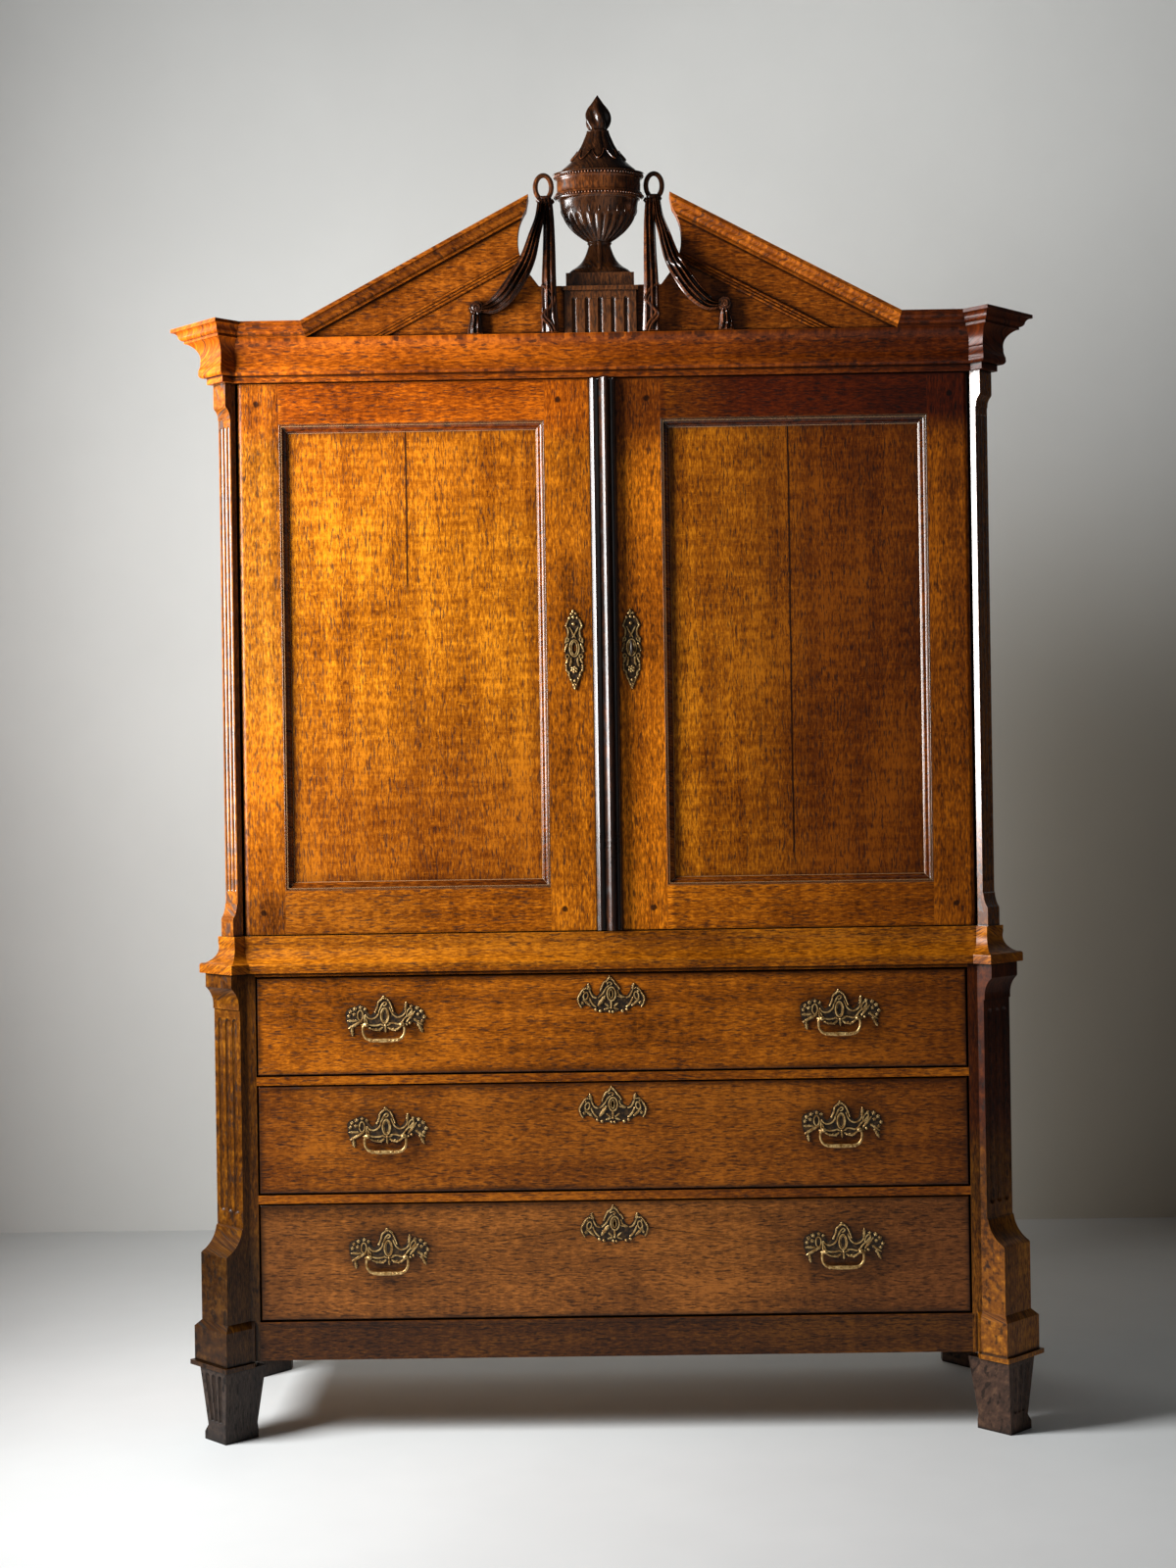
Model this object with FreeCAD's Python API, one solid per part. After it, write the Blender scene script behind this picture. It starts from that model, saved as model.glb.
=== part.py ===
"""Oak linen press: a chest of three long drawers under a two-door cupboard with a broken pediment.

Millimetres, +Z up, front towards -Y. The origin is on the floor, midway between the outermost
faces. Plans are drawn with x across the press and v forward of the closed door faces.
"""
import FreeCAD, Part
import math
import os

V = FreeCAD.Vector
UP = V(0, 0, 1)
ROOT2 = math.sqrt(2)

# ---------------------------------------------------------------- driving sizes
# Fits and clearances
slip = 0.3                       # a sliding wooden piece to its seat
running = 0.08                   # a pin in its hole, on the radius
drawer_gap = 2.4                 # round a drawer front
door_gap = 1.5                   # door edges to the case and to each other

# Whole press
case_depth = 500.0               # door faces to the back of the press
back_board = 12.0
plank_gap = 1.0
back_planks = 7

# Lower case
base_half_width = 781.2
base_front = 22.0                # lower case front, forward of the doors
post_cut = 61.5                  # corner taken off each front post, along each face
post_stile = 19.0                # plain strip of the post beside the drawers
post_depth = 110.0
shaft_stand = 10.1               # diagonal block forward of the cut, along each axis
capital_stand = 24.0
pedestal_stand = 38.5
plinth_out = 10.8
collar_out = 17.4
foot_height = 142.0
collar_height = 9.0
quirk = 3.0                      # small steps where a cove meets a block or a shaft
plinth_height = 67.0
plinth_chamfer = 12.0
pedestal_height = 135.0
pedestal_cove = 49.0
capital_cove = 44.0
capital_height = 28.0
base_flutes = 3
base_flute_width = 16.0
base_flute_pitch = 24.0
base_flute_depth = 5.5
base_flute_foot = 26.0           # plain shaft under the flutes
base_flute_head = 17.0
base_side_thickness = 30.0
side_stile = 80.0                # framed sides of both cases
side_rail = 90.0
apron_height = 75.5
apron_bead = 8.0
rail_thickness = 24.0
rail_depth = 60.0                # rails between the drawers, front to back
divider_height = 16.5
drawer_heights = {"bottom": 228.0, "middle": 212.0, "top": 193.0}
top_rail_height = 7.1
base_top_thickness = 22.0
floor_thickness = 12.0

# Front and back feet
foot_top = (87.0, 95.0)          # fluted face, inner face
foot_ankle = (58.0, 76.0)
foot_sole = (70.0, 78.0)
foot_flare_top = 30.0
foot_flare_bottom = 15.0
foot_nose_step = 21.7            # foremost edge of a foot, in from the side of the case
foot_nose_front = 80.0
foot_lean = 4.0                  # that edge goes outwards down to the ankle
foot_draw = 10.0                 # and backwards
foot_flutes = 3
foot_flute_pitch = (21.0, 13.5)
foot_flute_radius = (8.0, 5.5)
back_foot_width = 66.2
back_foot_side = 85.0
back_foot_edge = 12.0
back_foot_back = 22.0

# Waist
waist_step = 5.7                 # waist neck, out from the side of the upper case
waist_front = 5.0
waist_cut = 39.0
waist_stand = 18.0
waist_out = 27.0
waist_cove_out = 19.2
waist_lip = 15.0
waist_bead = 4.5
waist_fillet = 12.5
waist_height = 71.5
waist_clearance = 0.5

# Upper case
case_step = 25.9                 # upper case, in from the side of the lower one
upper_side_thickness = 22.0
upper_board = 24.0
door_rise = 2.5                  # floor of the cupboard to the doors
door_height = 1090.0
door_drop = 2.0                  # top board to the doors
pilaster_cut = 28.0
pilaster_stand = 7.9
pilaster_block_stand = 16.0
pilaster_base = 40.0
pilaster_base_cove = 26.0
pilaster_cap = 46.0
pilaster_cap_cove = 24.0
pilaster_flutes = 3
pilaster_flute_width = 8.0
pilaster_flute_pitch = 11.8
pilaster_flute_depth = 3.0
pilaster_flute_foot = 22.0
pilaster_flute_head = 14.0
stop_width = 22.0                # post behind the door edge
stop_depth = 24.0
shelf_count = 3
shelf_thickness = 18.0
bearer = 20.0

# Doors
door_thickness = 28.0
outer_stile = 84.8
inner_stile_edge = 115.0         # centre of the press to the panel moulding
top_rail = 80.0
bottom_rail = 86.0
tenon_thickness = 9.0
tenon_length = 55.0
peg_width = 9.0
peg_inset = 18.0
peg_spacing = 34.0
panel_thickness = 14.0
panel_back_step = 2.0
groove_depth = 9.5
tongue = 9.0
tongue_thickness = 8.0
moulding_width = 17.0
strip_half_width = 24.75
strip_thickness = 17.0
pivot_radius = 4.0
pivot_length = 15.0
pivot_plate = (44.0, 20.0, 3.0)
pivot_collar = 8.0
pivot_inset = 12.0               # from the pivot's axis to the outer end of its plate

# Cornice and pediment
cornice_step = 8.8               # cornice neck, out from the side of the upper case
cornice_front = 9.0
cornice_cut = 37.5
cornice_stand = 19.6
cornice_neck = 13.0
cornice_cove_top = 82.0
cornice_height = 111.0
cornice_out = 50.0
cornice_ledge = 28.5
frame_board = 20.0
band_back = 21.0                 # back of the raking band, forward of the neck
pediment_pitch = 28.0            # degrees
pediment_step = 177.1            # foot of the raking band, in from the cornice neck
pediment_tip = 138.0             # half width of the gap between the tips
tympanum_thickness = 20.0
tympanum_hollow = 160.0          # half width at the deepest point of the hollow ends
hollow_middle = 190.0            # cornice ledge to that point
hollow_step = 14.0               # slope from the hollow down to the bridge behind the urn
hollow_bottom = 134.0
bridge_rise = 94.0
pediment_brace = (60.0, 90.0, 257.0)   # width, height, distance from the pediment foot
hollow_start = 113.0
reed_count = 3
reed_radius = 2.8
reed_bed = 1.5
reed_drop = 75.0                 # band to reeds, down the face
pedestal_half = 70.0
pedestal_top = 83.0
pedestal_depth = 128.0
pedestal_flutes = 5
pedestal_flute_width = 11.0
pedestal_flute_pitch = 25.5
pedestal_cap_half = 74.0
pedestal_cap = 8.0
plinth_half = 67.0
urn_plinth = 30.0
urn_plinth_depth = 96.0
urn_height = 205.0
urn_squeeze = 0.55               # depth of the urn over its width
lid_height = 159.0
ring_out = (21.0, 29.0)
ring_wire = 5.0
ring_reach = 110.0
ring_rise = 303.0                # cornice ledge to the ring centre
knob_x = 243.0
knob_rise = 52.0
knob_radius = 15.0

# Drawers
drawer_front_thickness = 24.0
drawer_edge_round = 5.0
drawer_side = 12.0
drawer_back = 12.0
drawer_bottom = 8.0
drawer_length = 480.0
drawer_side_drop = 14.0
drawer_bottom_rise = 12.0
runner_width = 60.0
runner_thickness = 14.0
guide_height = 24.0
stop_block = (40.0, 18.0, 8.0)
stop_inset = 398.3               # from a drawer's end to a stop

# Brasses, drawer locks
handle_inset = 251.3             # from a drawer's end to the middle of its plate
handle_drop = (78.0, 83.0, 88.0)  # drawer top to the middle of its plates, top drawer first
plate_half_width = 79.0
plate_half_height = 40.0
plate_thickness = 2.0
post_half_span = 34.8
post_drop = 16.0
post_radius = 3.2
post_out = 13.0
bail_wire = 2.3
bail_drop = 34.0
bail_corner = 15.0
bail_belly = 3.4
bail_eye = 5.2
bail_eye_thickness = 3.6
bail_offset = 5.8                # bail outside its post
pin_radius = 1.9
drawer_plate_drop = (41.0, 43.5, 44.5)
drawer_plate_half = (66.0, 38.5)
keyhole_radius = 3.5
keyhole_slot = (3.2, 12.0)
drawer_lock = (70.0, 46.0, 12.0)
bolt_section = (24.0, 6.0)
bolt_travel = 8.0

# Door escutcheons, lock, key and bolts
left_plate_x = -62.0
right_plate_x = 51.0
door_plate_rise = 555.0          # door bottom to the middle of the plates
door_plate_half = (19.5, 80.0)
lock_case = (88.0, 120.0, 14.0)
lock_wall = 2.0
lock_bolt = (14.0, 9.0)
lock_travel = 12.0
key_shank = 3.0
key_bit = (12.0, 14.0, 3.0)
key_reach = 34.0                 # bow in front of the door
key_bow = 13.0
key_bow_wire = 2.6
slide_bolt = (13.0, 6.0, 170.0)
slide_bolt_travel = 14.0
slide_bolt_x = -46.0
staple_wall = 3.0

# ---------------------------------------------------------------- derived levels and places
collar_z = foot_height
plinth_z = collar_z + collar_height
pedestal_z = plinth_z + plinth_height + plinth_chamfer
pedestal_end_z = pedestal_z + pedestal_height
shaft_z = pedestal_end_z + pedestal_cove
apron_z = plinth_z + 1.0
apron_end_z = apron_z + apron_height

case_half_width = base_half_width - case_step
waist_half_width = case_half_width + waist_step
cornice_half_width = case_half_width + cornice_step
pediment_foot = cornice_half_width - pediment_step

foot_nose = (base_half_width - foot_nose_step, foot_nose_front)
back_foot_inner = base_half_width - back_foot_width
opening_half = base_half_width - post_cut - post_stile
drawer_half = opening_half - drawer_gap
stop_place = drawer_half - stop_inset
handle_x = drawer_half - handle_inset

drawer_levels = {}
divider_levels = []
level = apron_end_z
for drawer_name, drawer_height in drawer_heights.items():
    drawer_levels[drawer_name] = (level + drawer_gap, level + drawer_gap + drawer_height)
    level += 2 * drawer_gap + drawer_height
    if drawer_name != "top":
        divider_levels.append((level, level + divider_height))
        level += divider_height
base_top_z = level + top_rail_height
capital_end_z = base_top_z
capital_z = capital_end_z - capital_height
shaft_end_z = capital_z - capital_cove

waist_top_z = base_top_z + waist_height
upper_z = base_top_z + base_top_thickness
cupboard_floor_z = waist_top_z
door_z = cupboard_floor_z + door_rise
door_end_z = door_z + door_height
upper_top_z = door_end_z + door_drop
cornice_z = upper_top_z
ledge_z = cornice_z + cornice_cove_top
cornice_end_z = cornice_z + cornice_height

cornice_reach = cornice_front + cornice_stand + cornice_out * ROOT2
face_y = (cornice_reach - case_depth) / 2
back_v = -case_depth

door_outer = case_half_width - pilaster_cut - door_gap
door_axis_x = door_outer - door_thickness / 2
door_axis_v = -door_thickness / 2
right_door_edge = -strip_half_width
left_door_edge = right_door_edge - door_gap
stop_front = -door_thickness - door_gap
shelf_front = stop_front - stop_depth
bridge_z = ledge_z + bridge_rise
urn_v = cornice_front + cornice_ledge - pedestal_half


# ---------------------------------------------------------------- helpers
def block(x0, x1, v0, v1, z0, z1):
    """Box between two x, two v (forward) and two z values."""
    return Part.makeBox(x1 - x0, v1 - v0, z1 - z0, V(x0, face_y - v1, z0))


def bent_edge(start, end, bulge):
    """Line, or an arc whose bulge is the tangent of a quarter of its angle, to the right if positive."""
    if not bulge:
        return Part.LineSegment(start, end).toShape()
    chord = end - start
    middle = (start + end) * 0.5
    side = V(chord.y, -chord.x, 0) * (bulge / 2)
    return Part.Arc(start, middle + side, end).toShape()


def outline_face(points):
    """Face in the XY plane; a third value on a point bends the edge that leads to it."""
    corners = [V(point[0], point[1], 0) for point in points]
    edges = []
    for index, point in enumerate(points):
        bulge = point[2] if len(point) > 2 else 0
        edges.append(bent_edge(corners[index - 1], corners[index], bulge))
    return Part.Face(Part.Wire(Part.__sortEdges__(edges)))


def placed(face, origin, across, upward):
    """A face drawn in XY, moved so that X runs across and Y runs upward from the origin."""
    turn = FreeCAD.Rotation(across, upward, across.cross(upward), "XYZ")
    moved = face.copy()
    moved.Placement = FreeCAD.Placement(origin, turn)
    return moved


def world(point, z=0.0):
    return V(point[0], face_y - point[1], z)


def prism(plan, z0, z1):
    """Upright prism over a plan of (x, v) points."""
    face = outline_face([(point[0], -point[1]) + tuple(point[2:]) for point in plan])
    face.translate(V(0, face_y, z0))
    return face.extrude(UP * (z1 - z0))


def elevation(points, v0, v1):
    """Solid with an outline of (x, z) points, from v0 forward to v1."""
    face = placed(outline_face(points), V(0, face_y - v0, 0), V(1, 0, 0), UP)
    return face.extrude(V(0, v0 - v1, 0))


def mirrored(shape):
    return shape.mirror(V(0, 0, 0), V(1, 0, 0))


def pair(shapes):
    return shapes + [mirrored(shape) for shape in shapes]


def cylinder(radius, start, end):
    return Part.makeCylinder(radius, (end - start).Length, start, end - start)


def capsule(radius, start, end, end_radius=None):
    """Round-ended rod; with an end radius it tapers."""
    last = radius if end_radius is None else end_radius
    if last == radius:
        rod = cylinder(radius, start, end)
    else:
        rod = Part.makeCone(radius, last, (end - start).Length, start, end - start)
    return rod.fuse([Part.makeSphere(radius, start), Part.makeSphere(last, end)])


def cut(solid, tools):
    result = solid.cut(tools)
    return result.removeSplitter()


def joined(first, others):
    return first.fuse(others).removeSplitter()


def corner_plan(half_width, front, corner_cut, stand, grow=0.0):
    """Four plan points of the right diagonal corner block, grown outwards."""
    inward = grow * math.tan(math.pi / 8)
    reach = grow * ROOT2
    return [
        (half_width - corner_cut - inward, front + grow),
        (half_width - corner_cut + stand, front + stand + reach),
        (half_width + stand + reach, front - corner_cut + stand),
        (half_width + grow, front - corner_cut - inward),
    ]


def diagonal_block(half_width, front, corner_cut, profile):
    """Profile of (distance out, z), run along the cut corner of the right front post."""
    start = world((half_width - corner_cut, front))
    across = V(1, -1, 0).normalize()
    along = V(1, 1, 0).normalize()
    face = placed(outline_face(profile), start, across, UP)
    return face.extrude(along * (corner_cut * ROOT2))


def face_flutes(half_width, front, corner_cut, stand, count, width, pitch, depth, z0, z1):
    """Round-ended cutters for flutes in the face of a diagonal block."""
    radius = (depth * depth + width * width / 4) / (2 * depth)
    middle = V(half_width - corner_cut / 2 + stand, face_y - (front - corner_cut / 2 + stand), 0)
    outward = V(1, -1, 0).normalize()
    along = V(1, 1, 0).normalize()
    cutters = []
    for index in range(count):
        offset = (index - (count - 1) / 2) * pitch
        foot = middle + along * offset + outward * (radius - depth)
        cutters.append(capsule(radius, foot + UP * (z0 + radius), foot + UP * (z1 - radius)))
    return cutters


def run_moulding(profile, path, first=0, last=None):
    """Mitred lengths of a moulding: profile (out, z) along a path of (x, v) points, left to right."""
    outs = [point[0] for point in profile]
    heights = [point[1] for point in profile]
    low = min(outs) - 1
    high = max(outs) + 1
    points = [V(x, v, 0) for x, v in path]
    steps = [points[i + 1] - points[i] for i in range(len(points) - 1)]
    normals = [V(-step.y, step.x, 0).normalize() for step in steps]
    mitres = [normals[0]]
    for before, after in zip(normals, normals[1:]):
        mitres.append((before + after) * (1 / (1 + before.dot(after))))
    mitres.append(normals[-1])
    lengths = []
    for i in range(first, len(steps) if last is None else last):
        corners = [
            points[i] + mitres[i] * low,
            points[i + 1] + mitres[i + 1] * low,
            points[i + 1] + mitres[i + 1] * high,
            points[i] + mitres[i] * high,
        ]
        between = prism([(p.x, p.y) for p in corners], min(heights) - 1, max(heights) + 1)
        spare = steps[i].normalize() * (3 * high)
        begin = points[i] - spare
        finish = points[i + 1] + spare
        out_normal = V(normals[i].x, -normals[i].y, 0)
        face = placed(outline_face(profile), world((finish.x, finish.y)), out_normal, UP)
        bar = face.extrude(V(begin.x - finish.x, finish.y - begin.y, 0))
        lengths.append(bar.common(between))
    return lengths


def case_path(half_width, front, corner_cut, stand):
    """Path round both sides, both diagonal corners and the front of a case, left back to right back."""
    right = corner_plan(half_width, front, corner_cut, stand) + [(half_width, back_v)]
    left = [(-x, v) for x, v in reversed(right)]
    return left + right


def planks(x0, x1, v0, v1, z0, z1, count):
    """Upright boards side by side."""
    width = (x1 - x0 + plank_gap) / count
    starts = [x0 + width * index for index in range(count)]
    return [block(start, start + width - plank_gap, v0, v1, z0, z1) for start in starts]


def peg(x, v0, v1, z, width):
    """Eight-sided peg through a joint."""
    corner = width / 2 / math.cos(math.pi / 8)
    angles = [math.pi / 8 + index * math.pi / 4 for index in range(8)]
    return elevation([(x + corner * math.cos(a), z + corner * math.sin(a)) for a in angles], v0, v1)


def framed_leaf(x0, x1, z0, z1, left, right, top, bottom, thickness, round_left=False, round_right=False):
    """Pegged frame and its panel, front at v = 0. Returns the frame's solids and the panel."""
    inner = (x0 + left, x1 - right, z0 + bottom, z1 - top)
    half = thickness / 2
    stiles = []
    for edge, joint, rounded in ((x0, inner[0], round_left), (x1, inner[1], round_right)):
        if rounded:
            side = 1 if joint > edge else -1
            turn = edge + side * half
            plan = [(joint, 0), (turn, 0), (turn, -thickness, -side), (joint, -thickness)]
            stiles.append(prism(plan, z0, z1))
        else:
            stiles.append(block(min(edge, joint), max(edge, joint), -thickness, 0, z0, z1))
    tongue_v = (-half - tenon_thickness / 2, -half + tenon_thickness / 2)
    reach = min(tenon_length, left - 12, right - 12)
    rails = []
    pegs = []
    for low, high in ((z0, inner[2]), (inner[3], z1)):
        edge_room = min(12.0, (high - low) / 5)
        body = block(inner[0], inner[1], -thickness, 0, low, high)
        ends = block(inner[0] - reach, inner[1] + reach, *tongue_v, low + edge_room, high - edge_room)
        rails.append(body.fuse(ends).removeSplitter())
        stiles = [stile.cut(ends) for stile in stiles]
        middle = (low + high) / 2
        for x in (inner[0] - peg_inset, inner[1] + peg_inset):
            for z in (middle - peg_spacing / 2, middle + peg_spacing / 2):
                pegs.append(peg(x, -thickness, 0, z, peg_width))
    panel_front = -thickness + panel_back_step + panel_thickness
    groove_v = (-thickness + panel_back_step + 3, -thickness + panel_back_step + 3 + tongue_thickness)
    groove = block(inner[0] - groove_depth, inner[1] + groove_depth, *groove_v,
                   inner[2] - groove_depth, inner[3] + groove_depth)
    hollow = groove.cut(block(inner[0], inner[1], *groove_v, inner[2], inner[3]))
    members = [member.cut([hollow] + pegs) for member in stiles + rails]
    field = block(inner[0], inner[1], -thickness + panel_back_step, panel_front, inner[2], inner[3])
    rim = block(inner[0] - tongue, inner[1] + tongue, *groove_v, inner[2] - tongue, inner[3] + tongue)
    panel = field.fuse(rim).removeSplitter()
    return members + pegs, panel, inner, panel_front


def export(name, shapes):
    """One STEP file per node."""
    Part.makeCompound(shapes).exportStep("parts/" + name + ".step")


# ---------------------------------------------------------------- lower case
def corner_post():
    """Right front post of the lower case, with pedestal, fluted shaft and capital."""
    inner = base_half_width - post_cut - post_stile
    cut_line = (base_half_width - post_cut, base_front), (base_half_width, base_front - post_cut)
    core = prism([(inner, base_front), *cut_line, (base_half_width, base_front - post_depth),
                  (inner, base_front - post_depth)], plinth_z, base_top_z)
    shaft = shaft_stand * ROOT2
    capital = capital_stand * ROOT2
    pedestal = pedestal_stand * ROOT2
    profile = [
        (-1, plinth_z), (pedestal, plinth_z), (pedestal, pedestal_end_z - quirk),
        (pedestal - quirk, pedestal_end_z), (shaft + quirk, shaft_z - quirk, -0.25), (shaft, shaft_z),
        (shaft, shaft_end_z), (shaft + quirk, shaft_end_z), (capital - quirk, capital_z - quirk, -0.25),
        (capital, capital_z), (capital, capital_end_z), (-1, capital_end_z),
    ]
    corner = (base_half_width, base_front, post_cut)
    turned = diagonal_block(*corner, profile)
    flutes = face_flutes(*corner, shaft_stand, base_flutes, base_flute_width, base_flute_pitch,
                         base_flute_depth, shaft_z + base_flute_foot, shaft_end_z - base_flute_head)
    plinth = prism(plinth_plan(plinth_out), plinth_z, plinth_z + plinth_height)
    chamfer = Part.makeLoft([plan_wire(plinth_plan(plinth_out), plinth_z + plinth_height),
                             plan_wire(plinth_plan(0), pedestal_z)], True, True)
    collar = prism(plinth_plan(collar_out), collar_z, plinth_z)
    return cut(joined(core, [turned, plinth, chamfer, collar]), flutes)


def plinth_plan(grow):
    """Plan of the block under the post: the diagonal block closed behind."""
    plan = corner_plan(base_half_width, base_front, post_cut, pedestal_stand, grow)
    behind = base_half_width - post_cut - post_stile / 2
    return plan + [(base_half_width - post_cut / 2, plan[3][1]), (behind, base_front - post_cut / 2),
                   (behind, plan[0][1])]


def plan_wire(plan, z):
    points = [world(point, z) for point in plan]
    return Part.makePolygon(points + points[:1])


def foot_plan(sizes, nose, z):
    """Rectangle turned 45 degrees, given its fluted width, inner width and foremost corner."""
    fluted = sizes[0] / ROOT2
    inner = sizes[1] / ROOT2
    x, v = nose
    return plan_wire([(x, v), (x + fluted, v - fluted), (x + fluted - inner, v - fluted - inner),
                      (x - inner, v - inner)], z)


def front_foot():
    """Right front foot: a fluted taper turned 45 degrees, flaring to a sole."""
    low_nose = (foot_nose[0] + foot_lean, foot_nose[1] - foot_draw)
    ankle = foot_plan(foot_ankle, low_nose, foot_flare_top)
    sole_top = foot_plan(foot_sole, low_nose, foot_flare_bottom)
    taper = Part.makeLoft([foot_plan(foot_top, foot_nose, foot_height), ankle], True, True)
    flare = Part.makeLoft([ankle, sole_top], True, True)
    sole = Part.makeLoft([sole_top, foot_plan(foot_sole, low_nose, 0)], True, True)
    solid = joined(taper, [flare, sole])
    cutters = []
    along = V(1, 1, 0).normalize()
    outward = V(1, -1, 0).normalize()
    rise = foot_height - foot_flare_top
    for index in range(foot_flutes):
        step = index - (foot_flutes - 1) / 2
        ends = []
        for share, pitch, radius in zip((0.86, 0.12), foot_flute_pitch, foot_flute_radius):
            width = foot_ankle[0] + (foot_top[0] - foot_ankle[0]) * share
            x = low_nose[0] + (foot_nose[0] - low_nose[0]) * share
            v = low_nose[1] + (foot_nose[1] - low_nose[1]) * share
            nose = world((x, v), foot_flare_top + rise * share)
            ends.append(nose + along * (width / 2 + step * pitch) + outward * (radius * 0.35))
        cutters.append(capsule(foot_flute_radius[0], ends[0], ends[1], foot_flute_radius[1]))
    return cut(solid, cutters)


def back_foot():
    side = base_half_width
    plan = [(side, back_v), (side, back_v + back_foot_side), (side - back_foot_edge, back_v + back_foot_side),
            (back_foot_inner, back_v + back_foot_back), (back_foot_inner, back_v)]
    return prism(plan, 0, plinth_z)


def case_side(half_width, front, z0, z1, thickness):
    """Framed and panelled right side, from a front line back to the back boards."""
    depth = front - (back_v + back_board)
    members, panel, _, _ = framed_leaf(0, depth, z0, z1, side_stile, side_stile, side_rail, side_rail, thickness)
    solids = []
    for solid in members + [panel]:
        moved = solid.copy()
        moved.translate(V(0, -face_y, 0))
        moved.rotate(V(0, 0, 0), UP, 90)
        moved.translate(V(half_width, face_y - front, 0))
        solids.append(moved)
    return solids


def base_case():
    post = corner_post()
    export("corner_post_right", [post])
    export("corner_post_left", [mirrored(post)])
    export("feet", pair([front_foot(), back_foot()]))
    side = case_side(base_half_width, base_front - post_depth, plinth_z, base_top_z, base_side_thickness)
    export("base_side_right", side)
    export("base_side_left", [mirrored(solid) for solid in side])
    export("base_back", planks(-base_half_width, base_half_width, back_v, back_v + back_board,
                               plinth_z, base_top_z, back_planks))
    inside = base_half_width - base_side_thickness
    board_back = back_v + back_board
    post_back = base_front - post_depth
    back_line = base_front - rail_thickness
    floor_plan = [(-opening_half, back_line), (opening_half, back_line), (opening_half, post_back),
                  (inside, post_back), (inside, board_back), (-inside, board_back), (-inside, post_back),
                  (-opening_half, post_back)]
    floor_top = apron_end_z - runner_thickness
    export("base_floor", [prism(floor_plan, floor_top - floor_thickness, floor_top)])
    apron = block(-opening_half, opening_half, back_line, base_front, apron_z, apron_end_z)
    roll = run_moulding([(-2, apron_end_z - apron_bead), (0, apron_end_z - apron_bead),
                         (0, apron_end_z, 0.8), (-2, apron_end_z)],
                        [(-opening_half, base_front), (opening_half, base_front)])
    mortise = bolt_mortise_plan()
    rail_back = base_front - rail_depth
    rails = [joined(apron, roll), block(-opening_half, opening_half, rail_back, back_line, floor_top, apron_end_z)]
    for low, high in divider_levels + [(base_top_z - top_rail_height, base_top_z)]:
        rail = block(-opening_half, opening_half, rail_back, base_front, low, high)
        depth = min(bolt_travel + 1, high - low - 1)
        rails.append(rail.cut(block(*mortise, low - 1, low + depth)))
    export("front_rails", rails)
    export("base_top", [base_top_board()])
    export("drawer_runners", drawer_runners())


def bolt_mortise_plan():
    half = bolt_section[0] / 2 + 1
    middle = base_front - drawer_front_thickness + drawer_lock[2] / 2
    thick = bolt_section[1] / 2 + 1
    return -half, half, middle - thick, middle + thick


def base_top_board():
    edge = case_half_width + waist_clearance
    return block(-edge, edge, back_v, -waist_clearance, base_top_z, upper_z)


def drawer_runners():
    """Runners under the drawer sides, guides beside them and stops behind the fronts."""
    front = base_front - rail_depth
    post_back = base_front - post_depth
    back = back_v + back_board
    outer = base_half_width - base_side_thickness
    inner = drawer_half - runner_width
    plan = [(inner, back), (outer, back), (outer, post_back), (opening_half, post_back),
            (opening_half, front), (inner, front)]
    width, depth, height = stop_block
    stop_v = base_front - drawer_front_thickness - slip
    solids = []
    for low, _ in drawer_levels.values():
        top = low - drawer_gap
        solids.append(prism(plan, top - runner_thickness, top))
        solids.append(block(opening_half, outer, back, post_back, top, top + guide_height))
        solids.append(block(stop_place, stop_place + width, stop_v - depth, stop_v, top, top + height))
    return pair(solids)


def waist():
    corner = (waist_half_width, waist_front, waist_cut, waist_stand)
    inner = case_half_width + waist_clearance - waist_half_width
    low = base_top_z
    high = waist_top_z
    profile = [
        (inner, low), (waist_out, low), (waist_out, low + waist_lip),
        (waist_out - waist_bead, low + waist_lip + waist_bead, 0.41),
        (waist_cove_out, low + waist_lip + waist_bead), (0, high - waist_fillet, -0.36),
        (0, high), (inner, high),
    ]
    lengths = run_moulding(profile, case_path(*corner))
    case_corner = case_half_width + waist_clearance
    front = -waist_clearance
    rest = corner_plan(*corner, grow=inner)
    core = prism([rest[0], rest[1], rest[2], rest[3], (case_corner, front)], low, high)
    export("waist_moulding", lengths + pair([core]))


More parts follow.
